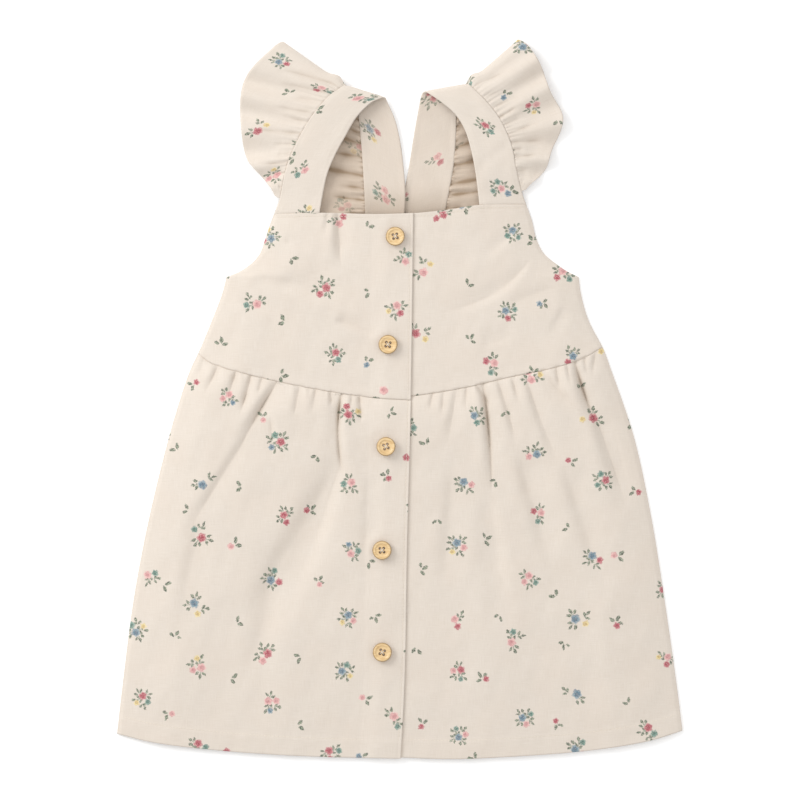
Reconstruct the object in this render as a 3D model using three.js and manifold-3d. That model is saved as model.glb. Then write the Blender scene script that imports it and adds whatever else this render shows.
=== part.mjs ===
// A toddler's sundress laid flat on a table, face up: a bodice that buttons down the front,
// a gathered skirt in two front panels and one back panel, and shoulder straps with a ruffle.
// Millimetres. X runs across the dress, Y up the garment from hem to shoulders, Z up from the table.
// The origin is on the table under the middle of the dress.

import * as THREE from 'three';
import { mergeVertices } from 'three/addons/utils/BufferGeometryUtils.js';
import Module from 'manifold-3d';

// Cloth and seams

const clothWall = 1.5;
const backWall = 1.2;
const seamGap = 0.3;
const ruffleSeamGap = 0.6;
const lowestFront = backWall + seamGap;
const placket = { overlap: 17, blend: 9, clearance: 0.5 };
const yokeTopOfBack = 121.7;

// Colours of the two materials

const linen = new THREE.MeshStandardMaterial({ color: 0xe6dccf, roughness: 0.92, metalness: 0 });
const wood = new THREE.MeshStandardMaterial({ color: 0xd9bd8f, roughness: 0.5, metalness: 0 });

// Outline of the dress: how far its left and right sides are from the middle at each height.
// A corner row is a sharp turn, here the underarm point.

const outline = [
  { y: -252.0, left: -212.6, right: 212.6 },
  { y: -210.0, left: -207.8, right: 207.2 },
  { y: -150.0, left: -200.0, right: 198.6 },
  { y: -90.0, left: -188.6, right: 189.0 },
  { y: -30.0, left: -174.0, right: 176.2 },
  { y: 0.0, left: -165.2, right: 166.6 },
  { y: 22.0, left: -157.6, right: 158.6 },
  { y: 36.8, left: -150.6, right: 153.2 },
  { y: 60.0, left: -141.0, right: 141.4 },
  { y: 80.0, left: -133.4, right: 135.8 },
  { y: 92.0, left: -130.2, right: 134.2, corner: true },
  { y: 95.5, left: -121.4, right: 126.8 },
  { y: 102.0, left: -111.8, right: 117.0 },
  { y: 109.0, left: -105.6, right: 108.6 },
  { y: 120.0, left: -101.4, right: 102.6 },
  { y: 134.0, left: -96.6, right: 99.2 },
  { y: 147.0, left: -91.6, right: 94.6 },
];

// The opening's edge down the front, which belongs to the left panels.

const openingEdge = [
  { y: -271.0, x: 0.4 },
  { y: -215.0, x: 3.4 },
  { y: -110.0, x: 5.4 },
  { y: 0.0, x: 8.2 },
  { y: 140.0, x: 10.0 },
];

// Seams and edges that run across the dress.

const waistSeamLeft = [
  { x: -151.6, y: 34.6 },
  { x: -144.0, y: 28.7 },
  { x: -134.0, y: 24.5 },
  { x: -111.0, y: 18.2 },
  { x: -79.0, y: 10.9 },
  { x: -45.0, y: 4.8 },
  { x: -18.0, y: 1.2 },
  { x: 8.2, y: -0.4 },
];
const waistSeamRight = [
  { x: -8.8, y: 1.2 },
  { x: 8.5, y: 2.6 },
  { x: 50.7, y: 9.4 },
  { x: 82.0, y: 16.8 },
  { x: 113.0, y: 23.3 },
  { x: 132.4, y: 29.0 },
  { x: 142.5, y: 33.6 },
  { x: 151.6, y: 39.2 },
];
const hemLeft = [
  { x: -212.6, y: -251.0 },
  { x: -188.2, y: -256.9 },
  { x: -138.8, y: -263.2 },
  { x: -75.0, y: -267.6 },
  { x: 0.4, y: -269.6 },
];
const hemRight = [
  { x: -16.6, y: -268.6 },
  { x: 0.4, y: -268.8 },
  { x: 37.5, y: -270.0 },
  { x: 75.0, y: -268.7 },
  { x: 145.5, y: -263.2 },
  { x: 188.2, y: -256.1 },
  { x: 212.6, y: -248.6 },
];
const necklineLeft = [
  { x: -94.4, y: 139.4 },
  { x: -60.0, y: 140.2 },
  { x: -15.0, y: 139.2 },
  { x: 10.0, y: 140.0 },
];
const necklineRight = [
  { x: -7.0, y: 139.4 },
  { x: 10.0, y: 139.9 },
  { x: 34.0, y: 142.3 },
  { x: 59.2, y: 146.0 },
  { x: 94.8, y: 146.6 },
];

// How high the front stands off the back in its middle, by height up the garment. The cloth reaches that
// height at the given distance in from the side seams.

const sideReach = 42;
const loft = [
  { y: -271.0, height: 1.2 },
  { y: -235.0, height: 2.6 },
  { y: -150.0, height: 4.6 },
  { y: -40.0, height: 5.6 },
  { y: 20.0, height: 5.0 },
  { y: 90.0, height: 4.4 },
  { y: 147.0, height: 4.6 },
];

// The gathered skirt swells below the waist seam.

const gatherSwell = { height: 3.4, distance: 20 };

// Creases of the front. Each runs from x, y to toX, toY. It is a trough of the given depth and half width,
// or a ridge where the depth is negative, and it raises a soft lip to its right or left. A crease starts
// shallow at its seam, is at full depth after the rise, dies out past the hold, and widens by the spread.

const creaseShape = { startDepth: 0.3, rise: 0.25, hold: 0.5, spread: 0.6, lipOffset: 1.9, lipWidth: 1.3 };

const skirtCreases = [
  { x: -134, y: 25, toX: -142, toY: 4, width: 4.2, depth: 2.2, lip: 0.4 },
  { x: -123, y: 22, toX: -131, toY: -8, width: 4.4, depth: 2.2, lip: 0.4 },
  { x: -111, y: 18, toX: -121, toY: -18, width: 4.6, depth: 2.4, lip: 0.3 },
  { x: -91, y: 13, toX: -146, toY: -90, width: 6.0, depth: 4.4, lip: -0.6 },
  { x: -75, y: 10, toX: -83, toY: -24, width: 4.6, depth: 2.2, lip: 0.4 },
  { x: -58, y: 7, toX: -68, toY: -34, width: 4.6, depth: 2.4, lip: 0.4 },
  { x: -40, y: 4, toX: -43, toY: -62, width: 5.2, depth: 3.4, lip: -0.5 },
  { x: -29, y: 3, toX: -27, toY: -28, width: 4.2, depth: 1.8, lip: 0.3 },
  { x: -43, y: -50, toX: -128, toY: -196, width: 9.0, depth: 3.2, lip: -0.6 },
  { x: -43, y: -58, toX: -42, toY: -112, width: 6.5, depth: 2.0, lip: 0.4 },
  { x: 26, y: 6, toX: 22, toY: -40, width: 4.6, depth: 2.0, lip: 0.3 },
  { x: 41, y: 8, toX: 34, toY: -66, width: 5.2, depth: 2.4, lip: 0.4 },
  { x: 52, y: 10, toX: 50, toY: -26, width: 4.4, depth: 2.2, lip: 0.3 },
  { x: 63, y: 12, toX: 70, toY: -86, width: 5.2, depth: 3.6, lip: -0.5 },
  { x: 75, y: 15, toX: 98, toY: -80, width: 5.4, depth: 2.6, lip: 0.4 },
  { x: 86, y: 18, toX: 92, toY: -12, width: 4.4, depth: 2.0, lip: 0.3 },
  { x: 97, y: 20, toX: 114, toY: -54, width: 4.8, depth: 2.8, lip: -0.4 },
  { x: 110, y: 22, toX: 118, toY: -2, width: 4.4, depth: 2.2, lip: 0.3 },
  { x: 112, y: 6, toX: 172, toY: -96, width: 7.5, depth: 3.4, lip: 0.6 },
  { x: 129, y: 28, toX: 158, toY: -44, width: 6.0, depth: 4.2, lip: -0.5 },
  { x: 143, y: 34, toX: 147, toY: -2, width: 4.4, depth: 2.0, lip: 0.3 },
  { x: -160, y: -120, toX: -172, toY: -285, width: 15, depth: -1.8, lip: 0 },
  { x: -84, y: -150, toX: -92, toY: -290, width: 17, depth: -1.6, lip: 0 },
  { x: 62, y: -120, toX: 70, toY: -290, width: 18, depth: -1.7, lip: 0 },
  { x: 150, y: -130, toX: 166, toY: -285, width: 15, depth: -1.8, lip: 0 },
];
const bodiceCreases = [
  { x: -46, y: 142, toX: -44, toY: 96, width: 6.5, depth: 1.8, lip: 0.4 },
  { x: -96, y: 88, toX: -30, toY: 68, width: 7.5, depth: 1.3, lip: 0.4 },
  { x: -34, y: 62, toX: -6, toY: 48, width: 6.0, depth: 1.2, lip: 0.4 },
  { x: 96, y: 104, toX: 18, toY: 56, width: 7.5, depth: 1.4, lip: -0.4 },
  { x: 118, y: 84, toX: 74, toY: 66, width: 7.0, depth: 1.2, lip: 0.4 },
];

// The straps and ruffles. Each row is one station of the path that runs from the front neckline up over
// the shoulder fold, row 8, and down to the back bodice. It gives the strap's inner edge, the seam where
// the ruffle is sewn on, and the ruffle's free edge, each as x, y and the height of the cloth's middle.

const leftStations = [
  { inner: [-60.2, 140.5, 6.9], seam: [-94.2, 139.8, 2.4], free: [-97.0, 143.0, 2.4] },
  { inner: [-58.4, 151.0, 7.4], seam: [-90.2, 151.0, 4.2], free: [-94.0, 153.0, 3.8] },
  { inner: [-54.8, 168.0, 8.8], seam: [-86.6, 168.8, 7.4], free: [-103.0, 166.5, 4.2] },
  { inner: [-49.2, 182.0, 9.3], seam: [-82.0, 183.0, 8.8], free: [-115.0, 181.0, 4.8] },
  { inner: [-41.4, 196.4, 9.7], seam: [-74.8, 198.0, 9.5], free: [-119.2, 205.0, 5.6] },
  { inner: [-32.6, 211.4, 10.0], seam: [-66.0, 212.4, 10.2], free: [-119.4, 226.0, 6.4] },
  { inner: [-22.6, 221.6, 10.0], seam: [-54.4, 226.2, 10.6], free: [-114.6, 243.4, 8.0] },
  { inner: [-14.6, 225.6, 9.0], seam: [-45.2, 233.2, 9.6], free: [-97.0, 262.0, 8.4] },
  { inner: [-11.4, 226.2, 6.4], seam: [-42.0, 235.4, 6.8], free: [-88.8, 268.0, 5.4] },
  { inner: [-9.8, 223.8, 3.8], seam: [-40.6, 233.0, 4.0], free: [-86.8, 264.0, 2.8] },
  { inner: [-3.4, 209.0, 2.8], seam: [-32.2, 216.0, 2.6], free: [-86.2, 240.0, 2.8] },
  { inner: [0.6, 191.2, 2.2], seam: [-29.4, 195.0, 2.0], free: [-81.8, 211.5, 2.8] },
  { inner: [3.0, 171.0, 2.4], seam: [-27.8, 172.5, 1.8], free: [-74.6, 183.0, 2.8] },
  { inner: [4.0, 154.0, 3.0], seam: [-26.8, 154.0, 1.6], free: [-66.0, 160.0, 2.6] },
  { inner: [3.4, 140.0, 3.1], seam: [-26.2, 139.6, 1.5], free: [-54.0, 140.6, 2.0] },
  { inner: [3.0, 122.0, 3.1], seam: [-25.6, 122.0, 1.3], free: [-30.0, 122.4, 1.3] },
];
const rightStations = [
  { inner: [59.4, 146.4, 6.8], seam: [94.6, 147.0, 2.4], free: [97.4, 149.6, 2.4] },
  { inner: [58.4, 155.6, 7.4], seam: [91.2, 156.4, 4.2], free: [94.6, 157.6, 3.8] },
  { inner: [56.4, 171.0, 8.8], seam: [87.2, 172.6, 7.4], free: [108.4, 171.6, 4.2] },
  { inner: [53.2, 187.0, 9.3], seam: [84.6, 187.4, 8.8], free: [114.0, 187.0, 4.8] },
  { inner: [48.6, 202.0, 9.7], seam: [80.2, 199.6, 9.5], free: [122.4, 210.8, 5.6] },
  { inner: [41.4, 213.6, 10.0], seam: [74.2, 211.2, 10.2], free: [112.4, 231.8, 6.4] },
  { inner: [32.2, 221.8, 10.0], seam: [65.0, 223.0, 10.6], free: [106.4, 248.8, 8.0] },
  { inner: [22.8, 228.4, 9.0], seam: [54.6, 233.4, 9.6], free: [97.4, 263.8, 8.4] },
  { inner: [18.8, 230.6, 6.4], seam: [51.0, 236.2, 6.8], free: [89.6, 269.5, 5.4] },
  { inner: [16.0, 227.6, 3.8], seam: [48.6, 233.4, 4.0], free: [88.4, 265.4, 2.8] },
  { inner: [13.0, 212.4, 2.6], seam: [43.0, 216.0, 2.6], free: [88.6, 240.0, 2.8] },
  { inner: [9.8, 194.2, 1.6], seam: [42.0, 196.4, 2.0], free: [84.8, 211.5, 2.8] },
  { inner: [6.4, 172.6, 1.1], seam: [40.2, 175.4, 1.8], free: [80.0, 184.0, 2.8] },
  { inner: [2.8, 155.0, 1.1], seam: [37.0, 157.0, 1.6], free: [73.0, 161.0, 2.6] },
  { inner: [-0.6, 140.0, 1.1], seam: [34.0, 140.6, 1.5], free: [61.0, 141.6, 2.0] },
  { inner: [-3.6, 122.0, 1.1], seam: [31.6, 122.0, 1.3], free: [36.0, 122.4, 1.3] },
];
const foldStation = 8;
const lowestRibbon = clothWall / 2 + 0.4;
const ruffleWaves = {
  front: { count: 5.5, height: 3.0 }, back: { count: 6, height: 1.4 },
  stillAtFold: 0.4, fadeFromFold: 1.6, fadeToEnd: 0.12, growth: 0.7,
};

// Buttons: where the middle of each lies, and how far its holes are turned.

const buttons = [
  { x: -3.6, y: 122.2, turn: 10 },
  { x: -9.0, y: 41.2, turn: -8 },
  { x: -10.5, y: -35.2, turn: 16 },
  { x: -13.5, y: -112.9, turn: 4 },
  { x: -13.3, y: -189.3, turn: -14 },
];
const button = {
  radius: 7.1, thickness: 2.7, rimWidth: 1.4, dish: 0.6, round: 0.7, holeRadius: 0.85, holeSpacing: 2.8,
  sides: 18, holeSides: 6, clearance: 0.35,
};
const buttonSeat = { flat: 8.5, blend: 7 };

// Curves through tables

const clamp = (value) => Math.min(1, Math.max(0, value));
const ease = (value) => clamp(value) ** 2 * (3 - 2 * clamp(value));
const mix = (a, b, share) => a + (b - a) * share;

// A smooth function through the rows of a table: cubic between rows, with the slope at a row taken from its
// two neighbours, and a sharp turn at a corner row.
function through(rows, key, value) {
  const slopes = rows.slice(1).map((row, i) => (row[value] - rows[i][value]) / (row[key] - rows[i][key]));
  const tangent = (i, side) => {
    const before = slopes[Math.max(i - 1, 0)];
    const after = slopes[Math.min(i, slopes.length - 1)];
    return rows[i].corner ? (side < 0 ? before : after) : (before + after) / 2;
  };
  return (at) => {
    let i = 0;
    while (i < rows.length - 2 && at > rows[i + 1][key]) i += 1;
    const span = rows[i + 1][key] - rows[i][key];
    const t = clamp((at - rows[i][key]) / span);
    const rise = rows[i + 1][value] - rows[i][value];
    const start = tangent(i, 1) * span;
    const end = tangent(i + 1, -1) * span;
    return rows[i][value] + t * start + t * t * (3 * rise - 2 * start - end)
      + t * t * t * (start + end - 2 * rise);
  };
}

const leftSide = through(outline, 'y', 'left');
const rightSide = through(outline, 'y', 'right');
const opening = through(openingEdge, 'y', 'x');
const loftAt = through(loft, 'y', 'height');
const waistLeft = through(waistSeamLeft, 'x', 'y');
const waistRight = through(waistSeamRight, 'x', 'y');
const waistStep = { from: 4, width: 8 };
const waist = (x) => mix(waistLeft(x), waistRight(x), ease((x - waistStep.from) / waistStep.width));

// Height of the front's inner face over the table

function creaseDepth(crease, x, y) {
  const along = new THREE.Vector2(crease.toX - crease.x, crease.toY - crease.y);
  const length = along.length();
  const from = new THREE.Vector2(x - crease.x, y - crease.y);
  const share = from.dot(along) / (length * length);
  if (share < 0 || share > 1) return 0;
  const aside = from.cross(along) / length;
  const { startDepth, rise, hold, spread, lipOffset, lipWidth } = creaseShape;
  const width = crease.width * (1 + spread * share);
  const strength = mix(startDepth, 1, ease(share / rise)) * (1 - ease((share - hold) / (1 - hold)));
  const trough = Math.exp(-((aside / width) ** 2));
  const lipCentre = lipOffset * width * Math.sign(crease.lip);
  const lip = Math.abs(crease.lip) * Math.exp(-(((aside - lipCentre) / (lipWidth * width)) ** 2));
  return crease.depth * strength * (trough - lip);
}

function clothHeight(x, y) {
  const inward = Math.min(x - leftSide(y), rightSide(y) - x) / sideReach;
  const lifted = loftAt(y) * (1 - (1 - clamp(inward)) ** 2);
  const belowWaist = Math.max(0, waist(x) - y) / gatherSwell.distance;
  const swell = gatherSwell.height * belowWaist * Math.exp(1 - belowWaist) * clamp(inward * 2);
  const creases = y < waist(x) ? skirtCreases : bodiceCreases;
  const sunk = creases.reduce((sum, crease) => sum + creaseDepth(crease, x, y), 0);
  return lowestFront + Math.max(0, lifted + swell - sunk * clamp(inward * 3));
}

// The front is level under each button.
function frontHeight(x, y) {
  let height = clothHeight(x, y);
  for (const row of buttons) {
    const away = Math.hypot(x - row.x, y - row.y);
    const level = 1 - ease((away - buttonSeat.flat) / buttonSeat.blend);
    if (level > 0) height = mix(height, clothHeight(row.x, row.y), level);
  }
  return height;
}

// The left panels ride over the right ones at the opening.
function lapHeight(x, y) {
  const lapped = ease((x - (opening(y) - placket.overlap - placket.blend)) / placket.blend);
  return frontHeight(x, y) + (clothWall + placket.clearance) * lapped;
}

// Solids

// A closed wall between two grids of points that share their rows and columns.
function wallSolid(lower, upper, columns, rows) {
  const points = [...lower, ...upper];
  const positions = points.flatMap((point) => [point.x, point.y, point.z]);
  const count = columns * rows;
  const at = (column, row, face) => face * count + row * columns + column;
  const index = [];
  const quad = (a, b, c, d) => index.push(a, b, c, a, c, d);
  for (let row = 0; row < rows - 1; row += 1) {
    for (let column = 0; column < columns - 1; column += 1) {
      quad(at(column, row, 1), at(column + 1, row, 1), at(column + 1, row + 1, 1), at(column, row + 1, 1));
      quad(at(column, row, 0), at(column, row + 1, 0), at(column + 1, row + 1, 0), at(column + 1, row, 0));
    }
  }
  for (let column = 0; column < columns - 1; column += 1) {
    const last = rows - 1;
    quad(at(column, 0, 0), at(column + 1, 0, 0), at(column + 1, 0, 1), at(column, 0, 1));
    quad(at(column, last, 1), at(column + 1, last, 1), at(column + 1, last, 0), at(column, last, 0));
  }
  for (let row = 0; row < rows - 1; row += 1) {
    const last = columns - 1;
    quad(at(0, row, 1), at(0, row + 1, 1), at(0, row + 1, 0), at(0, row, 0));
    quad(at(last, row, 0), at(last, row + 1, 0), at(last, row + 1, 1), at(last, row, 1));
  }
  if (signedVolume(positions, index) < 0) index.reverse();
  const geometry = new THREE.BufferGeometry();
  geometry.setAttribute('position', new THREE.Float32BufferAttribute(positions, 3));
  geometry.setIndex(index);
  geometry.computeVertexNormals();
  return geometry;
}

function signedVolume(positions, index) {
  const corner = (i) => new THREE.Vector3().fromArray(positions, 3 * index[i]);
  let volume = 0;
  for (let i = 0; i < index.length; i += 3) volume += corner(i).dot(corner(i + 1).cross(corner(i + 2))) / 6;
  return volume;
}

// Shares from 0 to 1 in equal steps between the given stops, with a number of steps for each stretch.
function shares(stops, steps) {
  const list = [0];
  steps.forEach((count, i) => {
    for (let k = 1; k <= count; k += 1) list.push(mix(stops[i], stops[i + 1], k / count));
  });
  return list;
}

// A cut panel lying on the table: its points blend its four edges, and its lower and upper faces stand
// at the heights that the two functions give.
function panel({ bottom, top, left, right, across, up, lowerZ, upperZ }) {
  const corners = [bottom(0), bottom(1), top(0), top(1)];
  const lower = [];
  const upper = [];
  for (const v of up) {
    for (const u of across) {
      const blend = (axis) => mix(bottom(u)[axis], top(u)[axis], v) + mix(left(v)[axis], right(v)[axis], u)
        - mix(mix(corners[0][axis], corners[1][axis], u), mix(corners[2][axis], corners[3][axis], u), v);
      const x = blend('x');
      const y = blend('y');
      lower.push(new THREE.Vector3(x, y, lowerZ(x, y)));
      upper.push(new THREE.Vector3(x, y, upperZ(x, y)));
    }
  }
  return wallSolid(lower, upper, across.length, up.length);
}

// Edges of panels: one that runs across from startX to endX, and one that runs up from startY to endY.
const acrossEdge = (height, startX, endX, shift) => (u) => {
  const x = mix(startX, endX, u);
  return { x, y: height(x) + shift };
};
const upEdge = (side, startY, endY) => (v) => {
  const y = mix(startY, endY, v);
  return { x: side(y), y };
};

// The four front panels. Each edge starts and ends on its neighbours' ends, so that the corners meet.
// The bodice's rows are closer together round the armhole.
const skirtAcross = shares([0, 1], [34]);
const rowsCrowdToWaist = 1.55;
const skirtUp = shares([0, 1], [17]).map((share) => 1 - (1 - share) ** rowsCrowdToWaist);

function frontPanel({ lower, upper, isLeft, lowerShift, upperShift, across, up }) {
  const under = isLeft ? 0 : -placket.overlap;
  const placketSide = (y) => opening(y) + under;
  const outerSide = isLeft ? leftSide : rightSide;
  const lowHeight = through(lower, 'x', 'y');
  const highHeight = through(upper, 'x', 'y');
  const lowOuter = isLeft ? lower[0] : lower[lower.length - 1];
  const highOuter = isLeft ? upper[0] : upper[upper.length - 1];
  const lowInnerY = (isLeft ? lower[lower.length - 1].y : lower[0].y) + lowerShift;
  const highInnerY = (isLeft ? upper[upper.length - 1].y : upper[0].y) + upperShift;
  const outer = upEdge(outerSide, lowOuter.y + lowerShift, highOuter.y + upperShift);
  const inner = upEdge(placketSide, lowInnerY, highInnerY);
  const left = isLeft ? outer : inner;
  const right = isLeft ? inner : outer;
  const height = isLeft ? lapHeight : frontHeight;
  return panel({
    bottom: acrossEdge(lowHeight, left(0).x, right(0).x, lowerShift),
    top: acrossEdge(highHeight, left(1).x, right(1).x, upperShift),
    left, right, across, up,
    lowerZ: height,
    upperZ: (x, y) => height(x, y) + clothWall,
  });
}

const halfGap = seamGap / 2;
const skirtFrontLeft = frontPanel({
  lower: hemLeft, upper: waistSeamLeft, isLeft: true, lowerShift: 0, upperShift: -halfGap,
  across: skirtAcross, up: skirtUp,
});
const skirtFrontRight = frontPanel({
  lower: hemRight, upper: waistSeamRight, isLeft: false, lowerShift: 0, upperShift: -halfGap,
  across: skirtAcross, up: skirtUp,
});

const bodiceAcross = shares([0, 1], [17]);
const bodiceUp = shares([0, 0.54, 1], [6, 8]);
const bodiceFrontLeft = frontPanel({
  lower: waistSeamLeft, upper: necklineLeft, isLeft: true, lowerShift: halfGap, upperShift: -halfGap,
  across: bodiceAcross, up: bodiceUp,
});
const bodiceFrontRight = frontPanel({
  lower: waistSeamRight, upper: necklineRight, isLeft: false, lowerShift: halfGap, upperShift: -halfGap,
  across: bodiceAcross, up: bodiceUp,
});

// The two back panels lie flat on the table.
function backPanel(lowHeight, highHeight, startY, endY, across, up) {
  const left = upEdge(leftSide, startY.left, endY.left);
  const right = upEdge(rightSide, startY.right, endY.right);
  return panel({
    bottom: acrossEdge(lowHeight, left(0).x, right(0).x, 0),
    top: acrossEdge(highHeight, left(1).x, right(1).x, 0),
    left, right, across, up,
    lowerZ: () => 0,
    upperZ: () => backWall,
  });
}

const hemBack = through([
  { x: -212.6, y: -251.0 },
  { x: -138.8, y: -262.6 },
  { x: 0, y: -268.0 },
  { x: 145.5, y: -262.6 },
  { x: 212.6, y: -248.6 },
], 'x', 'y');
const waistBack = (shift) => (x) => waist(x) + shift;
const skirtBack = backPanel(
  hemBack, waistBack(-halfGap),
  { left: -251.0, right: -248.6 }, { left: 34.6 - halfGap, right: 39.2 - halfGap },
  shares([0, 1], [18]), shares([0, 1], [11]),
);
const bodiceBack = backPanel(
  waistBack(halfGap), () => yokeTopOfBack,
  { left: 34.6 + halfGap, right: 39.2 + halfGap }, { left: yokeTopOfBack, right: yokeTopOfBack },
  shares([0, 1], [14]), shares([0, 0.66, 1], [5, 5]),
);

// Straps and ruffles

const rail = (stations, name) => {
  const points = stations.map((station) => new THREE.Vector3(...station[name]));
  const curve = new THREE.CatmullRomCurve3(points, false, 'catmullrom', 0.5);
  return (station) => curve.getPoint(station / (stations.length - 1));
};

// A ribbon of cloth: point(s, t) gives its middle, s along it and t across it. The wall stands half to each
// side of the middle, square to the cloth.
function ribbon(point, along, across) {
  const reach = 0.02;
  const within = (value, list) => Math.min(Math.max(value, list[0]), list[list.length - 1]);
  const outer = [];
  const inner = [];
  for (const t of across) {
    for (const s of along) {
      const forward = point(within(s + reach, along), t).sub(point(within(s - reach, along), t));
      const sideways = point(s, within(t + reach, across)).sub(point(s, within(t - reach, across)));
      const normal = forward.cross(sideways).normalize();
      const middle = point(s, t);
      outer.push(middle.clone().addScaledVector(normal, clothWall / 2));
      inner.push(middle.clone().addScaledVector(normal, -clothWall / 2));
    }
  }
  return wallSolid(inner, outer, along.length, across.length);
}

// The steps along them are closer together round the shoulder fold.
const stationCount = leftStations.length - 1;
const alongStrap = shares([0, 7 / stationCount, 9 / stationCount, 1], [15, 8, 12])
  .map((share) => share * stationCount);

function strap(stations) {
  const inner = rail(stations, 'inner');
  const seam = rail(stations, 'seam');
  const point = (s, t) => {
    const from = inner(s);
    const to = seam(s);
    return from.lerp(to, t * (1 - halfGap / from.distanceTo(to)));
  };
  return ribbon(point, alongStrap, shares([0, 1], [3]));
}

// Height of the ruffle's waves, counted from the fold to each end, which grow from the seam to the free edge
// and are still at the fold and the ends.
const ruffleStart = 1;
function ruffleWave(s, t) {
  const side = s < foldStation ? ruffleWaves.front : ruffleWaves.back;
  const end = s < foldStation ? ruffleStart : stationCount;
  const run = (s - foldStation) / (end - foldStation);
  const { stillAtFold, fadeFromFold, fadeToEnd } = ruffleWaves;
  const still = ease((Math.abs(s - foldStation) - stillAtFold) / fadeFromFold) * ease((1 - run) / fadeToEnd);
  return side.height * still * t ** ruffleWaves.growth * Math.sin(2 * Math.PI * side.count * run);
}

const ruffleRun = stationCount - ruffleStart;
const alongRuffle = shares([0, (7.2 - ruffleStart) / ruffleRun, (8.8 - ruffleStart) / ruffleRun, 1], [33, 8, 34])
  .map((share) => ruffleStart + share * ruffleRun);

function ruffle(stations) {
  const seam = rail(stations, 'seam');
  const free = rail(stations, 'free');
  const point = (s, t) => {
    const from = seam(s);
    const to = free(s);
    const place = from.lerp(to, mix(ruffleSeamGap / from.distanceTo(to), 1, t));
    place.z = Math.max(place.z + ruffleWave(s, t), lowestRibbon);
    return place;
  };
  return ribbon(point, alongRuffle, shares([0, 1], [4]));
}

// Buttons

const wasm = await Module();
wasm.setup();

function toSolid(geometry) {
  geometry.deleteAttribute('normal');
  geometry.deleteAttribute('uv');
  const merged = mergeVertices(geometry, 1e-4);
  const corners = Array.from(merged.index.array);
  const triangles = [];
  for (let i = 0; i < corners.length; i += 3) {
    const [a, b, c] = corners.slice(i, i + 3);
    if (a !== b && b !== c && c !== a) triangles.push(a, b, c);
  }
  return new wasm.Manifold(new wasm.Mesh({
    numProp: 3,
    vertProperties: new Float32Array(merged.attributes.position.array),
    triVerts: new Uint32Array(triangles),
  }));
}

function fromSolid(solid) {
  const mesh = solid.getMesh();
  const geometry = new THREE.BufferGeometry();
  geometry.setAttribute('position', new THREE.Float32BufferAttribute(mesh.vertProperties, 3));
  geometry.setIndex(Array.from(mesh.triVerts));
  geometry.computeVertexNormals();
  return geometry;
}

// A round disc with a raised rim, a dished face and four holes, its underside at z = 0.
function buttonGeometry() {
  const { radius, thickness, rimWidth, dish, round, sides } = button;
  const profile = [
    [0, 0], [radius - round, 0], [radius, round], [radius, thickness - round], [radius - round, thickness],
    [radius - rimWidth, thickness], [radius - rimWidth - dish, thickness - dish], [0, thickness - dish],
  ].map(([r, z]) => new THREE.Vector2(r, z));
  const disc = new THREE.LatheGeometry(profile, sides);
  disc.rotateX(Math.PI / 2);
  let solid = toSolid(disc);
  for (const sideX of [-1, 1]) {
    for (const sideY of [-1, 1]) {
      const hole = new THREE.CylinderGeometry(button.holeRadius, button.holeRadius, 4 * thickness, button.holeSides);
      hole.rotateX(Math.PI / 2);
      hole.translate(sideX * button.holeSpacing / 2, sideY * button.holeSpacing / 2, 0);
      solid = solid.subtract(toSolid(hole));
    }
  }
  return fromSolid(solid);
}

// The dress

const dress = new THREE.Group();

function add(name, geometry, material) {
  const mesh = new THREE.Mesh(geometry, material);
  mesh.name = name;
  dress.add(mesh);
  return mesh;
}

add('skirt_back', skirtBack, linen);
add('bodice_back', bodiceBack, linen);
add('skirt_front_left', skirtFrontLeft, linen);
add('skirt_front_right', skirtFrontRight, linen);
add('bodice_front_left', bodiceFrontLeft, linen);
add('bodice_front_right', bodiceFrontRight, linen);
add('strap_left', strap(leftStations), linen);
add('strap_right', strap(rightStations), linen);
add('ruffle_left', ruffle(leftStations), linen);
add('ruffle_right', ruffle(rightStations), linen);
buttons.forEach((row, i) => {
  const mesh = add(`button_${i + 1}`, buttonGeometry(), wood);
  mesh.position.set(row.x, row.y, lapHeight(row.x, row.y) + clothWall + button.clearance);
  mesh.rotation.z = THREE.MathUtils.degToRad(row.turn);
});

export default dress;
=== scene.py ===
# Toddler's sundress laid flat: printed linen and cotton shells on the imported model, stitching, wooden
# buttons and their thread, a pale floor and soft studio light.
import math

import bpy
import numpy as np
from bpy.props import FloatProperty, FloatVectorProperty, PointerProperty
from mathutils import Matrix, Vector


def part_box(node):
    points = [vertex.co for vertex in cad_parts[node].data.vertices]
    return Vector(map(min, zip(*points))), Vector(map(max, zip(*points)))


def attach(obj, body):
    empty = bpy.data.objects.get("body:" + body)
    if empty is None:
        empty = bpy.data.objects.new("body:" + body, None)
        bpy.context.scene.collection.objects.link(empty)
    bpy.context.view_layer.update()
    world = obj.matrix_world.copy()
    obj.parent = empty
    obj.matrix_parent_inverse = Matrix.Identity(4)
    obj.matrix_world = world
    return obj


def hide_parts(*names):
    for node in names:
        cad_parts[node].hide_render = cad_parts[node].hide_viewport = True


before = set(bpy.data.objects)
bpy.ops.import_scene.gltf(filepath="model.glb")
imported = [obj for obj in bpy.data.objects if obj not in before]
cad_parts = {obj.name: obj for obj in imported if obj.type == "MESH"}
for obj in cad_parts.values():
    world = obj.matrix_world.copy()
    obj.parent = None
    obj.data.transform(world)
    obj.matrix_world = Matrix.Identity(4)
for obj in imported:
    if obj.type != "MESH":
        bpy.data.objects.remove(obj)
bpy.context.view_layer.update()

bl_info = {
    "name": "Toddler Sundress",
    "version": (1, 0, 0),
    "blender": (4, 5, 0),
    "location": "View3D > Sidebar > Sundress",
    "description": "Builds a button-front toddler sundress with ruffled straps, laid flat",
    "category": "Add Mesh",
}

# Sizes are in millimetres until a mesh is made, and MM turns them into metres.
MM = 0.001
BODY = "root"

# How thick the cloth is in front and behind, and the gap that stands for a seam.
CLOTH = 0.7
BACK_CLOTH = 0.6
SEAM_GAP = 0.3
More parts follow.
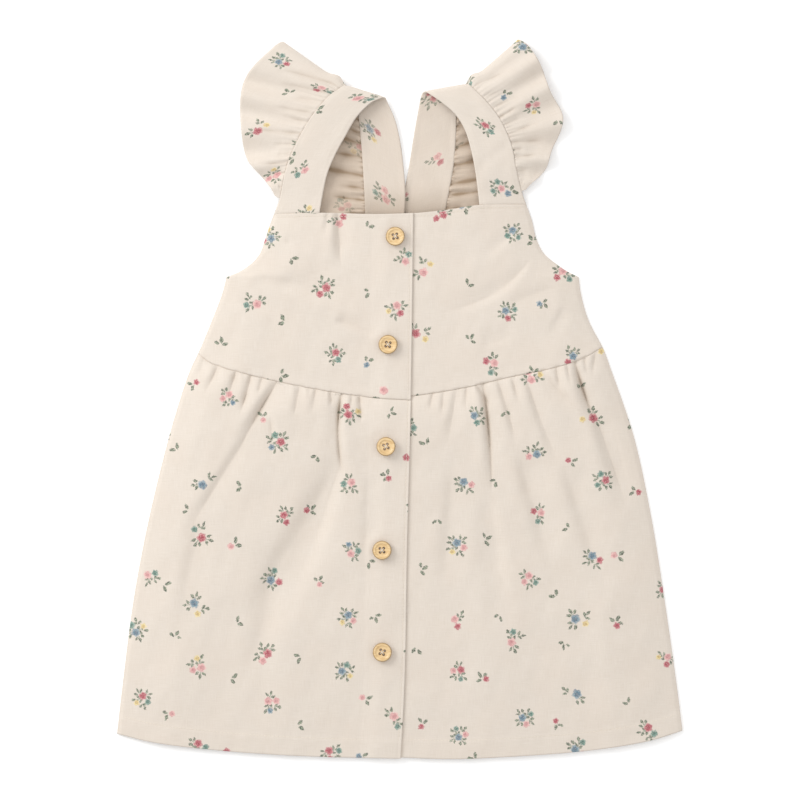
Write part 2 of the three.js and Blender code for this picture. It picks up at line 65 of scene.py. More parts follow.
# The height of the front's inner face at the side seams, how far the skirt goes up under the bodice, and the
# lowest that its tucked edge lies.
LOWEST_FRONT = 1.5
TUCK, TUCK_LOWEST = 1.3, 0.25
# How far the right front goes under the left one, which rises by the cloth's thickness and a little more.
PLACKET_OVERLAP = 17.0
PLACKET_BLEND = 13.0
LAP_RISE = 1.15
# How far the bodice's lower and top edges are moved up, and the place of the back bodice's top edge.
BODICE_SHIFTS = (-0.1, -0.15)
BACK_TOP = 121.7
# The back has the front skirt's creases at BACK_MIRROR - x, at a share of their depth, up to a highest rise.
BACK_MIRROR, BACK_CREASE, BACK_HIGHEST = 7.0, 0.22, 0.8
# No cloth comes nearer to the table than this.
LEAST_HEIGHT = 0.15


def table(columns, rows):
    """A table with named columns, each an array."""
    return {name: np.array(column, dtype=float) for name, column in zip(columns.split(), zip(*rows))}


# The sides of the dress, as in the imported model. Corner 1 marks a sharp turn, the underarm point.
OUTLINE = table("y left right corner", [
    (-252.0, -212.6, 212.6, 0), (-210.0, -207.8, 207.2, 0), (-150.0, -200.0, 198.6, 0),
    (-90.0, -188.6, 189.0, 0), (-30.0, -174.0, 176.2, 0), (0.0, -165.2, 166.6, 0),
    (22.0, -157.6, 158.6, 0), (36.8, -150.6, 153.2, 0), (60.0, -141.0, 141.4, 0),
    (80.0, -133.4, 135.8, 0), (92.0, -130.2, 134.2, 1), (95.5, -121.4, 126.8, 0),
    (102.0, -111.8, 117.0, 0), (109.0, -105.6, 108.6, 0), (120.0, -101.4, 102.6, 0),
    (134.0, -96.6, 99.2, 0), (147.0, -91.6, 94.6, 0),
])
OPENING = table("y x", [(-271, 0.4), (-215, 3.4), (-110, 5.4), (0, 8.2), (140, 10.0)])
WAIST_LEFT = table("x y", [
    (-151.6, 34.6), (-144.0, 28.7), (-134.0, 24.5), (-111.0, 18.2), (-79.0, 10.9), (-45.0, 4.8),
    (-18.0, 1.2), (8.2, -0.4),
])
WAIST_RIGHT = table("x y", [
    (-8.8, 1.2), (8.5, 2.6), (50.7, 9.4), (82.0, 16.8), (113.0, 23.3), (132.4, 29.0),
    (142.5, 33.6), (151.6, 39.2),
])
HEM_LEFT = table("x y", [
    (-212.6, -251.0), (-188.2, -256.9), (-138.8, -263.2), (-75.0, -267.6), (0.4, -269.6),
])
HEM_RIGHT = table("x y", [
    (-16.6, -268.6), (0.4, -268.8), (37.5, -270.0), (75.0, -268.7), (145.5, -263.2),
    (188.2, -256.1), (212.6, -248.6),
])
HEM_BACK = table("x y", [
    (-212.6, -251.0), (-138.8, -262.6), (0.0, -268.0), (145.5, -262.6), (212.6, -248.6),
])
NECK_LEFT = table("x y", [(-94.4, 139.4), (-60.0, 140.2), (-15.0, 139.2), (10.0, 140.0)])
NECK_RIGHT = table("x y", [
    (-7.0, 139.4), (10.0, 139.9), (34.0, 142.3), (59.2, 146.0), (94.8, 146.6),
])
LOFT = table("y height", [
    (-271, 1.2), (-235, 2.6), (-150, 4.6), (-40, 5.6), (20, 5.0), (90, 4.4), (147, 4.6),
])
# How far in from a side seam the loft is reached, and the swell of the skirt below the waist.
SIDE_REACH = 42.0
SWELL_HEIGHT = 2.4
SWELL_DISTANCE = 20.0
# Over the last few millimetres the front comes down to the back at the side seams.
SEAM_DROP, SEAM_REACH = 0.78, 3.5
# Fine puckers, each a sine that sways: its height, rate, sway and the slow rate of the sway. The waist's die
# over a distance below the seam, and come and go along it in patches that keep clear of the opening.
WAIST_PUCKERS = ((0.24, 0.93, 1.9, 0.21), (0.16, 1.57, 2.6, 0.13))
PUCKER_REACH, PATCH_SCALE, PATCH_CLEAR, PATCH_BLEND = 7.0, 46, 16, 8
RUFFLE_PUCKERS = ((0.34, 17.0, 1.6, 2.3), (0.26, 28.0, 2.1, 3.1))
BACK_PUCKERS = ((0.5, 1.31, 1.3, 0.17),)
# Soft unevenness of the front: height, wavelength and seed.
RIPPLES = ((0.36, 38, 5), (0.12, 15, 8))

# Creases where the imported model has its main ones, with the small ones beside them. Each runs from x, y to
# to_x, to_y, bulging sideways by bow at its middle, with a half width, a depth (a ridge's is negative), a lip
# beside it (a positive one is on the viewer's left of a crease that runs down) and crisp, the share of the
# depth that is a sharp line.
CREASE_COLUMNS = "x y to_x to_y width depth lip bow crisp"
SKIRT_CREASES = table(CREASE_COLUMNS, [
    (-92, 13, -122, -40, 5.2, 4.8, 0.4, -1.0, 0.50), (-112, -24, -166, -112, 5.0, 2.0, 0.3, -1.0, 0.30),
    (-98, -12, -96, -44, 4.0, 1.8, -0.3, 1.0, 0.45), (-112, 18, -121, -14, 3.6, 3.0, 0.3, 0.6, 0.60),
    (-123, 22, -129, 2, 3.4, 2.6, 0.3, 0.4, 0.60), (-136, 26, -147, 4, 3.6, 2.2, 0.3, 0.5, 0.50),
    (-103, 17, -107, 2, 2.6, 1.4, 0.3, 0, 0.50), (-147, 32, -152, 16, 2.6, 1.2, 0.3, 0, 0.40),
    (-44, 4, -42, -60, 5.0, 6.0, -0.4, -3.5, 0.66), (-42, -40, -66, -112, 8.0, 2.6, -0.2, 0, 0.12),
    (-52, -76, -96, -176, 12.0, 2.2, -0.1, 0, 0), (-46, -50, -130, -194, 12, 3.2, 0.1, 0, 0),
    (-30.5, 3, -29, -20, 3.0, 3.0, 0.3, 0.3, 0.60), (-52, 6, -51, -7, 2.6, 1.8, 0.3, 0, 0.50),
    (-63, 9, -66, -12, 3.0, 1.4, 0.3, 0, 0.40), (-75, 11, -80, -16, 3.4, 1.6, 0.3, 0, 0.40),
    (-36, 4, -37, -8, 2.4, 1.2, 0.3, 0, 0.50), (57, 11, 68, -8, 3.4, 2.4, 0.3, 1.0, 0.50),
    (62, 13, 69, -74, 4.6, 5.6, 0.4, 1.5, 0.66), (73, 15, 88, -38, 3.6, 2.2, 0.3, 1.2, 0.36),
    (94, 19, 122, -54, 4.4, 2.2, 0.3, -1.5, 0.26), (106, 22, 144, -17, 4.2, 2.2, -0.3, -1.5, 0.30),
    (131, 29, 150, -24, 5.5, 7.0, 0.4, -1.5, 0.58), (145, -6, 172, -86, 7.0, 3.6, 0.4, 0, 0.22),
    (147, 37, 144, 16, 3.0, 2.0, 0.3, 0, 0.50), (117, 25, 120, 5, 3.0, 2.0, 0.3, 0, 0.50),
    (43, 9, 35, -38, 4.6, 1.8, 0.3, 0, 0.25), (25, 6, 22, -9, 2.6, 1.6, 0.3, 0, 0.50),
    (33, 7, 31, -15, 2.8, 1.4, 0.3, 0, 0.45), (50, 10, 49, -9, 2.6, 1.6, 0.3, 0, 0.50),
    (84, 17, 90, -5, 2.8, 1.6, 0.3, 0, 0.50), (125, 28, 128, 9, 2.6, 1.8, 0.3, 0, 0.50),
    (138, 33, 141, 17, 2.6, 1.6, 0.3, 0, 0.50), (88, -36, 120, -140, 8.0, 2.4, 0.3, 0, 0),
    (66, -70, 80, -176, 8.0, 2.0, -0.3, 0, 0), (122, -44, 158, -150, 8.0, 2.2, 0.3, 0, 0),
    (40, -50, 34, -160, 8.0, 1.5, 0.3, 0, 0), (-148, -84, -170, -200, 9.0, 1.8, 0.3, 0, 0),
    (-92, -120, -114, -224, 9.0, 1.6, 0.3, 0, 0), (-22, -50, -26, -150, 7.0, 1.2, 0.3, 0, 0),
    (-160, -120, -172, -285, 15, -1.6, 0, 0, 0), (-84, -150, -92, -290, 17, -1.4, 0, 0, 0),
    (62, -120, 70, -290, 18, -1.5, 0, 0, 0), (150, -130, 166, -285, 15, -1.6, 0, 0, 0),
])
BODICE_CREASES = table(CREASE_COLUMNS, [
    (-47, 142, -44, 94, 5.0, 3.2, 0.4, 0, 0.30), (-54, 142, -56, 122, 3.0, 1.2, 0.3, 0, 0.30),
    (-96, 88, -30, 68, 7.5, 1.6, 0.4, 3.0, 0), (-50, 60, -12, 45, 4.5, 2.0, 0.4, 1.5, 0.25),
    (101, 110, 20, 66, 5.0, 1.9, -0.15, 12.0, 0.30), (118, 84, 74, 66, 6.0, 1.1, 0.3, -2.0, 0.20),
    (-124, 76, -84, 60, 5.0, 0.8, 0.3, 0, 0), (-110, 92, -70, 84, 4.0, 0.8, -0.4, 0, 0),
    (-88, 120, -62, 110, 4.0, 0.7, 0.3, 0, 0), (20, 128, 52, 120, 4.0, 0.6, 0.3, 0, 0),
    (88, 128, 60, 104, 4.0, 0.8, -0.4, 0, 0), (60, 40, 96, 52, 5.0, 0.7, 0.3, 0, 0),
    (124, 70, 110, 44, 4.0, 0.7, 0.3, 0, 0), (-60, 34, -24, 30, 5.0, 0.6, 0.3, 0, 0),
])
# A crease starts at this share of its depth where it begins within AT_SEAM of a gathered seam, rises and
# holds over these shares of its length, and spreads by a share of its width.
AT_SEAM, CREASE_START, CREASE_RISE, CREASE_HOLD, CREASE_SPREAD = 6.0, 0.5, 0.2, 0.5, 0.5
# Its lip's place and width and its steeper and gentler sides, in widths, and its line's width in millimetres.
LIP_PLACE, LIP_WIDTH = 1.1, 0.9
STEEP, GENTLE, LINE_WIDTH = 0.6, 1.25, 1.05
# The line's least firmness, the phase and rate of its turns along the crease, and the depth in millimetres
# at which its painted shade is darkest.
CRISP_LEAST, CRISP_PHASE, CRISP_RATE, FULL_SHADE_DEPTH = 0.5, 0.5, 5.5, 5.0
# The neckline's place up the dress, near enough to tell which creases start there.
NECK_HEIGHT = 143.0

# Straps and ruffles, station by station from the front neckline over the shoulder fold to the back bodice:
# the strap's inner edge, the ruffle seam and the ruffle's free edge.
STATION_COLUMNS = "ix iy iz sx sy sz fx fy fz"
LEFT_STATIONS = table(STATION_COLUMNS, [
    (-60.2, 140.5, 6.9, -94.2, 139.8, 2.4, -97.0, 143.0, 2.4),
    (-58.4, 151.0, 7.4, -90.2, 151.0, 4.2, -94.0, 153.0, 3.8),
    (-54.8, 168.0, 8.8, -86.6, 168.8, 7.4, -103.0, 166.5, 4.2),
    (-49.2, 182.0, 9.3, -82.0, 183.0, 8.8, -115.0, 181.0, 4.8),
    (-41.4, 196.4, 9.7, -74.8, 198.0, 9.5, -119.2, 205.0, 5.6),
    (-32.6, 211.4, 10.0, -66.0, 212.4, 10.2, -119.4, 226.0, 6.4),
    (-22.6, 221.6, 10.0, -54.4, 226.2, 10.6, -114.6, 243.4, 8.0),
    (-14.6, 225.6, 9.0, -45.2, 233.2, 9.6, -97.0, 262.0, 8.4),
    (-11.4, 226.2, 6.4, -42.0, 235.4, 6.8, -88.8, 268.0, 5.4),
    (-9.8, 223.8, 3.8, -40.6, 233.0, 4.0, -86.8, 264.0, 2.8),
    (-3.4, 209.0, 2.8, -32.2, 216.0, 2.6, -86.2, 240.0, 2.8),
    (0.6, 191.2, 2.2, -29.4, 195.0, 2.0, -81.8, 211.5, 2.8),
    (3.0, 171.0, 2.4, -27.8, 172.5, 1.8, -77.0, 181.0, 2.8),
    (4.0, 154.0, 3.0, -26.8, 154.0, 1.6, -72.0, 157.0, 2.6),
    (3.4, 140.0, 3.1, -26.2, 139.6, 1.5, -64.0, 138.0, 2.0),
    (3.0, 122.0, 3.1, -25.6, 122.0, 1.3, -34.0, 122.4, 1.3),
])
RIGHT_STATIONS = table(STATION_COLUMNS, [
    (59.4, 146.4, 6.8, 94.6, 147.0, 2.4, 97.4, 149.6, 2.4),
    (58.4, 155.6, 7.4, 91.2, 156.4, 4.2, 94.6, 157.6, 3.8),
    (56.4, 171.0, 8.8, 87.2, 172.6, 7.4, 108.4, 171.6, 4.2),
    (53.2, 187.0, 9.3, 84.6, 187.4, 8.8, 114.0, 187.0, 4.8),
    (48.6, 202.0, 9.7, 80.2, 199.6, 9.5, 122.4, 210.8, 5.6),
    (41.4, 213.6, 10.0, 74.2, 211.2, 10.2, 112.4, 231.8, 6.4),
    (32.2, 221.8, 10.0, 65.0, 223.0, 10.6, 106.4, 248.8, 8.0),
    (22.8, 228.4, 9.0, 54.6, 233.4, 9.6, 97.4, 263.8, 8.4),
    (18.8, 230.6, 6.4, 51.0, 236.2, 6.8, 89.6, 269.5, 5.4),
    (16.0, 227.6, 3.8, 48.6, 233.4, 4.0, 88.4, 265.4, 2.8),
    (13.0, 212.4, 2.6, 43.0, 216.0, 2.6, 88.6, 240.0, 2.8),
    (9.8, 194.2, 1.6, 42.0, 196.4, 2.0, 84.8, 211.5, 2.8),
    (6.4, 172.6, 1.1, 40.2, 175.4, 1.8, 82.0, 182.0, 2.8),
    (2.8, 155.0, 1.1, 37.0, 157.0, 1.6, 77.0, 159.0, 2.6),
    (-0.6, 140.0, 1.1, 34.0, 140.6, 1.5, 69.0, 139.0, 2.0),
    (-3.6, 122.0, 1.1, 31.6, 122.0, 1.3, 40.0, 122.4, 1.3),
])
# The shoulder fold's station, the ruffles' ends, their tuck under the straps and their stand at the shoulder.
FOLD_STATION = 8.0
LAST_STATION = 15.0
RUFFLE_START = 1.0
RUFFLE_TUCK = 1.4
SHOULDER_HEAD = 3.4
# The lowest that a ruffle's middle lies.
RUFFLE_LOWEST = 0.55
# How dark the painted shade in a ruffle's creases is on its front and back halves, and the painted shade
# of the small pits along its back seam.
RUFFLE_CREASE_SHADE = (2.0, 6.5)
SEAM_PIT_SHADE = 0.75
# How far the straps' inside takes the wrong side's fainter print and painted shade, and the painted shadow
# where a strap runs in under the front bodice.
STRAP_INSIDE_SHADE = 0.35
UNDER_TOP, UNDER_REACH, UNDER_SHADE = 166.0, 26.0, 0.42
# The ruffles' broad waves on each side of the fold.
FRONT_WAVES, BACK_WAVES = 5.5, 6
FRONT_WAVE_HEIGHT, BACK_WAVE_HEIGHT = 3.0, 1.4
# The ruffles' gathers, charted like the other creases but straight and equally crisp: x is the station times
# 14, and y is the share of the way from seam to free edge times 55.
GATHER_CRISP = 0.5
STATION_MM, ACROSS_MM = 14.0, 55.0


def gather_table(rows):
    """A crease table from rows without bow and crisp."""
    return table(CREASE_COLUMNS, [row + (0, GATHER_CRISP) for row in rows])


LEFT_GATHERS = gather_table([
    (20, 0, 22, 22, 2.6, 0.9, 0.3), (29, 0, 31, 34, 3.0, 1.3, -0.3), (36, 0, 38, 46, 3.4, 2.0, 0.4),
    (44, 0, 43, 20, 2.6, 1.0, 0.3), (50, 0, 49, 26, 2.8, 1.2, -0.3), (57, 0, 55, 50, 3.6, 2.2, 0.4),
    (65, 0, 66, 22, 2.6, 1.0, 0.3), (72, 0, 70, 30, 3.0, 1.7, -0.3), (80, 0, 78, 24, 2.6, 1.0, 0.3),
    (88, 0, 84, 36, 3.0, 1.4, 0.3), (98, 0, 90, 46, 3.2, 1.8, 0.3),
    (136, 0, 138, 40, 2.6, 1.6, 0.3), (144, 0, 145, 34, 2.4, 1.5, -0.3), (151, 0, 149, 24, 2.2, 1.0, 0.3),
    (156, 0, 155, 44, 2.6, 1.8, 0.3), (162, 0, 163, 30, 2.2, 1.2, -0.3), (171, 0, 170, 46, 2.6, 1.8, 0.3),
    (178, 0, 178, 24, 2.2, 1.0, 0.3), (186, 0, 184, 34, 2.4, 1.3, 0.3), (196, 0, 195, 24, 2.4, 1.0, 0.3),
])
RIGHT_GATHERS = gather_table([
    (19, 0, 20, 20, 2.6, 0.9, 0.3), (27, 0, 28, 26, 2.8, 1.2, 0.3), (36, 0, 40, 44, 3.4, 2.0, -0.4),
    (42, 0, 43, 18, 2.4, 0.9, 0.3), (48, 0, 47, 46, 3.2, 1.9, -0.4), (55, 0, 58, 36, 3.0, 1.7, 0.3),
    (63, 0, 64, 20, 2.4, 0.9, 0.3), (70, 0, 71, 24, 2.8, 1.4, -0.3), (78, 0, 76, 30, 2.8, 1.2, 0.3),
    (87, 0, 85, 20, 2.6, 1.0, 0.3), (98, 0, 93, 30, 2.8, 1.3, -0.3),
    (134, 0, 135, 26, 2.4, 1.2, 0.3), (141, 0, 142, 34, 2.4, 1.3, -0.3), (149, 0, 148, 24, 2.2, 1.1, 0.3),
    (159, 0, 157, 44, 2.6, 1.8, 0.3), (168, 0, 166, 42, 2.6, 1.8, -0.3), (178, 0, 176, 44, 2.6, 1.8, 0.3),
    (185, 0, 183, 40, 2.4, 1.6, 0.3), (193, 0, 193, 24, 2.2, 1.0, 0.3),
])

BUTTONS = table("x y turn", [
    (-3.6, 122.2, 10), (-9.0, 41.2, -8), (-10.5, -35.2, 16), (-13.5, -112.9, 4), (-13.3, -189.3, -14),
])
# The level seat under a button, then the button's own sizes, its holes and the height of its thread.
SEAT_FLAT, SEAT_BLEND = 8.5, 7.0
BUTTON_RADIUS, BUTTON_THICK, BUTTON_EDGE, BUTTON_DISH, BUTTON_RIM = 7.1, 2.7, 0.9, 0.75, 0.7
HOLE_SPACING, HOLE_RADIUS, THREAD_SEAT = 2.9, 0.80, 2.0
# Doubled cloth and its stitches, as distances from the edge that they follow: the turned hem, the turned
# neckline with its dent and its thread, and the facing of the opening.
HEM_TURN, HEM_STITCH = 15.0, 14.0
NECK_TURN, NECK_STITCH, NECK_THREAD = 2.4, 2.6, 2.75
FACING, EDGE_STITCH = 30.0, 2.4
# A stitch. Two quads close each tip, which takes six sides.
STITCH_LENGTH, STITCH_RADIUS, STITCH_SIDES = 2.0, 0.17, 6
# How many sines make the smooth noise, and what brings their mean to about 1.
NOISE_WAVES, NOISE_GAIN = 7, 1.8


def clamp(value):
    """The value kept between 0 and 1."""
    return np.clip(value, 0.0, 1.0)


def ease(value):
    """The smooth step 3v^2 - 2v^3 of the value kept between 0 and 1."""
    v = clamp(value)
    return v * v * (3 - 2 * v)


def mix(a, b, share):
    """The point that lies the given share of the way from a to b."""
    return a + (b - a) * share


def through(keys, values, corner=None):
    """A smooth function through a table's rows: cubic Hermite pieces, with the slope at a row the mean of
    its two neighbours' slopes, and one slope to each side of a corner row."""
    slopes = np.diff(values) / np.diff(keys)
    before = np.concatenate([slopes[:1], slopes])
    after = np.concatenate([slopes, slopes[-1:]])
    mean = (before + after) / 2
    sharp = np.zeros(len(keys)) if corner is None else corner
    before = np.where(sharp > 0, before, mean)
    after = np.where(sharp > 0, after, mean)

    def curve(at):
        at = np.asarray(at, dtype=float)
        i = np.clip(np.searchsorted(keys, at, side="right") - 1, 0, len(keys) - 2)
        span = keys[i + 1] - keys[i]
        t = clamp((at - keys[i]) / span)
        rise = values[i + 1] - values[i]
        start = after[i] * span
        end = before[i + 1] * span
        return (values[i] + t * start + t ** 2 * (3 * rise - 2 * start - end)
                + t ** 3 * (start + end - 2 * rise))

    return curve


def across_curve(points):
    """The smooth function y of x through a table with columns x and y."""
    return through(points["x"], points["y"])


left_side = through(OUTLINE["y"], OUTLINE["left"], OUTLINE["corner"])
right_side = through(OUTLINE["y"], OUTLINE["right"], OUTLINE["corner"])
opening_x = through(OPENING["y"], OPENING["x"])
loft_at = through(LOFT["y"], LOFT["height"])
waist_left = across_curve(WAIST_LEFT)
waist_right = across_curve(WAIST_RIGHT)
SIDE_WAIST = np.array([WAIST_LEFT["y"][0], WAIST_RIGHT["y"][-1]])
WAIST_JOIN, WAIST_BLEND = 4, 8


def waist(x):
    """The waist seam's place up the dress: the left half's curve, and past the opening the right half's."""
    return mix(waist_left(x), waist_right(x), ease((x - WAIST_JOIN) / WAIST_BLEND))


def crease_parts(creases, x, y, from_edge):
    """How far the creases sink the cloth, as a soft and a sharp part. The soft part of each is a trough whose
    two sides are halves of a steeper and a gentler Gaussian, less a Gaussian lip on the steeper side. The
    sharp part is an exponential line at its bottom, firmer and softer in turns along it by a squared sine.
    Both are scaled along the crease by an eased start and an eased end. from_edge gives how far a point is
    from the seam that gathers the cloth, because a crease that starts away from it rises from nothing."""
    soft = np.zeros(np.broadcast(x, y).shape)
    sharp = np.zeros(soft.shape)
    for x0, y0, x1, y1, width0, depth, lip, bow, crisp in zip(*creases.values()):
        ax, ay = x1 - x0, y1 - y0
        length = math.hypot(ax, ay)
        share = ((x - x0) * ax + (y - y0) * ay) / length ** 2
        side = -1.0 if lip < 0 else 1.0
        aside = ((x - x0) * ay - (y - y0) * ax) / length + bow * 4 * share * (1 - share)
        inside = (share >= 0) & (share <= 1)
        width = width0 * (1 + CREASE_SPREAD * clamp(share))
        start = CREASE_START if from_edge(x0, y0) < AT_SEAM else 0.0
        strength = mix(start, 1, ease(share / CREASE_RISE))
        strength = strength * (1 - ease((share - CREASE_HOLD) / (1 - CREASE_HOLD)))
        off = side * aside / width
        trough = np.exp(-(off / np.where(off > 0, STEEP, GENTLE)) ** 2)
        line = np.exp(-np.abs(aside) / LINE_WIDTH)
        beside = abs(lip) * np.exp(-((off - LIP_PLACE) / LIP_WIDTH) ** 2)
        strength = np.where(inside, depth * strength, 0.0)
        soft += strength * (trough - beside) * (1 - crisp)
        firm = CRISP_LEAST + (1 - CRISP_LEAST) * np.sin(CRISP_PHASE + CRISP_RATE * share + x0) ** 2
        sharp += strength * line * crisp * firm
    return soft, sharp


def front_creases(x, y):
    """The soft and the sharp part of the creases of the front, the skirt's below the waist and the bodice's
    above it."""
    skirt = crease_parts(SKIRT_CREASES, x, y, below_waist)
    bodice = crease_parts(BODICE_CREASES, x, y, below_neck)
    return [np.where(y < waist(x), low, high) for low, high in zip(skirt, bodice)]


def crease_shade(sharp):
    """The painted shade of a crease's sharp line, from 0 to 1."""
    return clamp(sharp / FULL_SHADE_DEPTH)


def soft_noise(x, y, scale, seed):
    """Smooth noise from about -1 to 1: a sum of sine waves of random direction and phase near one
    wavelength."""
    rng = np.random.default_rng(seed)
    total = np.zeros(np.broadcast(x, y).shape)
    for _ in range(NOISE_WAVES):
        angle, phase = rng.uniform(0, 2 * math.pi, 2)
        stretch = rng.uniform(0.7, 1.5)
        k = 2 * math.pi / (scale * stretch)
        total += np.sin(k * (x * math.cos(angle) + y * math.sin(angle)) + phase)
    return total / NOISE_WAVES * NOISE_GAIN


def puckers(x, rows):
    """The sum of several sines of x, the phase of each swayed by a slower sine."""
    return sum(height * np.sin(rate * x + sway * np.sin(slow * x)) for height, rate, sway, slow in rows)


def below_waist(x, y):
    """How far a point is below the waist seam."""
    return abs(float(waist(x)) - y)


def below_neck(x, y):
    """How far a point is below the neckline."""
    return abs(NECK_HEIGHT - y)


def below_ruffle_seam(x, y):
    """How far a point of a ruffle is from its seam, on the ruffle's own map."""
    return abs(y)


def from_sides(x, y):
    """Distance in from the nearer side seam."""
    return np.minimum(x - left_side(y), right_side(y) - x)


def waist_puckers(x, y, below):
    """Height of the fine puckers under the waist seam: the waist's puckers in patches of noise along x, dying
    away below it exponentially."""
    from_opening = np.abs(x - opening_x(y) + 2)
    patchy = clamp(0.30 + 0.9 * soft_noise(x, 0 * x, PATCH_SCALE, 3))
    patchy = patchy * ease((from_opening - PATCH_CLEAR) / PATCH_BLEND)
    return patchy * puckers(x, WAIST_PUCKERS) * np.exp(-below / PUCKER_REACH)


def cloth_height(x, y):
    """Height of the front's inner face: a loft that rises from the side seams as a parabola, and a swell
    below the waist that rises and dies as u times e to the 1 - u, less the creases, with puckers and
    ripples."""
    inward = from_sides(x, y) / SIDE_REACH
    lifted = loft_at(y) * (1 - (1 - clamp(inward)) ** 2)
    below = np.maximum(0, waist(x) - y)
    u = below / SWELL_DISTANCE
    swell = SWELL_HEIGHT * u * np.exp(1 - u) * clamp(inward * 2)
    ripple = sum(height * soft_noise(x, y, scale, seed) for height, scale, seed in RIPPLES)
    fine = np.where(y < waist(x), waist_puckers(x, y, below), 0) + ripple
    drop = SEAM_DROP * (1 - ease(inward * SIDE_REACH / SEAM_REACH))
    creased = sum(front_creases(x, y)) * clamp(inward * 3)
    return LOWEST_FRONT - drop + np.maximum(0, lifted + swell - creased + fine * clamp(inward * 2.5))


def front_height(x, y):
    """The cloth's height, made level in a round seat under each button."""
    height = cloth_height(x, y)
    for bx, by in zip(BUTTONS["x"], BUTTONS["y"]):
        away = np.hypot(x - bx, y - by)
        level = 1 - ease((away - SEAT_FLAT) / SEAT_BLEND)
        height = mix(height, cloth_height(bx, by), level)
    return height


def lap_height(x, y):
    """The left panels' height: the front's, and the rise over the right panels near the opening."""
    start = opening_x(y) - PLACKET_OVERLAP - PLACKET_BLEND
    return front_height(x, y) + LAP_RISE * ease((x - start) / PLACKET_BLEND)


# Meshes

def link(name, mesh):
    """A new object at the origin in the scene's collection, riding on the dress."""
    piece = bpy.data.objects.new(name, mesh)
    bpy.context.scene.collection.objects.link(piece)
    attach(piece, BODY)
    return piece


def mesh_from(name, points, quads, smooth, uv=None):
    """A mesh from points in millimetres and quads, with a print map where uv gives one pair a point."""
    mesh = bpy.data.meshes.new(name)
    count = len(quads)
    mesh.vertices.add(len(points))
    mesh.vertices.foreach_set("co", (points * MM).astype(np.float32).ravel())
    mesh.loops.add(4 * count)
    mesh.loops.foreach_set("vertex_index", quads.astype(np.int32).ravel())
    mesh.polygons.add(count)
    mesh.polygons.foreach_set("loop_start", np.arange(0, 4 * count, 4, dtype=np.int32))
    mesh.update(calc_edges=True)
    mesh.polygons.foreach_set("use_smooth", smooth)
    if uv is not None:
        layer = mesh.uv_layers.new(name="print")
        layer.data.foreach_set("uv", (uv[quads.ravel()] * MM).astype(np.float32).ravel())
    mesh.validate()
    return mesh


def grid_quads(rows, columns):
    """The quads of a grid whose points are stored row by row."""
    r, c = np.meshgrid(np.arange(rows - 1), np.arange(columns - 1), indexing="ij")
    a = (r * columns + c).ravel()
    return np.stack([a, a + 1, a + 1 + columns, a + columns], axis=1)


def ring_quads(rings, sides):
    """The quads between rings of points that are stored ring by ring."""
    r, k = np.meshgrid(np.arange(rings - 1), np.arange(sides), indexing="ij")
    a = (r * sides + k).ravel()
    b = (r * sides + (k + 1) % sides).ravel()
    return np.stack([a, b, b + sides, a + sides], axis=1)


def wall(name, lower, upper, uv, wrong_side_and_shade, crease):
    """A closed wall between two grids of points, with a strip round the rim joining their edges. Its last two
    arguments say how far each of the two faces is the cloth's wrong side, where the print is fainter and a
    tint darkens it as painted shade, and how much painted shade each point's crease has."""
    rows, columns = lower.shape[:2]
    count = rows * columns
    index = np.arange(count).reshape(rows, columns)
    ring = np.concatenate([index[0, :-1], index[:-1, -1], index[-1, :0:-1], index[:0:-1, 0]])
    after = np.roll(ring, -1)
    rim = np.stack([ring, after, after + count, ring + count], axis=1)
    grid = grid_quads(rows, columns)
    quads = np.concatenate([grid[:, ::-1], grid + count, rim])
    points = np.concatenate([lower.reshape(-1, 3), upper.reshape(-1, 3)])
    across, up = upper[0, 1] - upper[0, 0], upper[1, 0] - upper[0, 0]
    thickness = upper[0, 0] - lower[0, 0]
    if np.dot(np.cross(across, up), thickness) < 0:
        quads = quads[:, ::-1]
    smooth = np.ones(len(quads), dtype=bool)
    smooth[-len(rim):] = False
    mesh = mesh_from(name, points, quads, smooth, np.tile(uv.reshape(-1, 2), (2, 1)))
    shades = {"wrong_side_and_shade": np.repeat(wrong_side_and_shade, count), "crease": np.tile(crease.ravel(), 2)}
    for label, values in shades.items():
        layer = mesh.attributes.new(label, "FLOAT", "POINT")
        layer.data.foreach_set("value", values.astype(np.float32))
    return mesh


def add_cloth(node, mesh):
    """Links a sheet of printed linen in place of its solid, and hides the solid."""
    piece = link(node + "_cloth", mesh)
    piece.data.materials.append(material("printed_linen", linen_material))
    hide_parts(node)


def coons(bottom, top, left, right, across, up):
    """Plan points of a panel: the blend of its bottom and top edges, plus that of its left and right edges,
    less the blend of its four corners."""
    u, v = np.meshgrid(across, up)
    b, t = bottom(u), top(u)
    l, r = left(v), right(v)
    corners = [bottom(np.zeros(1)), bottom(np.ones(1)), top(np.zeros(1)), top(np.ones(1))]
    out = []
    for axis in (0, 1):
        c = [corner[axis][0] for corner in corners]
        flat = mix(mix(c[0], c[1], u), mix(c[2], c[3], u), v)
        out.append(mix(b[axis], t[axis], v) + mix(l[axis], r[axis], u) - flat)
    return out


def across_edge(height, start, end, shift):
    """An edge that runs across from x = start to x = end along a curve moved up by the shift."""
    def edge(u):
        x = mix(start, end, u)
        return x, height(x) + shift
    return edge


def up_edge(side, start, end):
    """An edge that runs up from y = start to y = end."""
    def edge(v):
        y = mix(start, end, v)
        return side(y), y
    return edge


def panel_plan(left, right, low_curve, high_curve, shifts, across, up):
    """Plan points of a panel between its left and right edges, with the curves of its bottom and top edges
    moved up by the two shifts."""
    bottom, top = (across_edge(curve, left(end)[0][0], right(end)[0][0], shift) for curve, end, shift in
                   zip((low_curve, high_curve), (np.zeros(1), np.ones(1)), shifts))
    return coons(bottom, top, left, right, across, up)


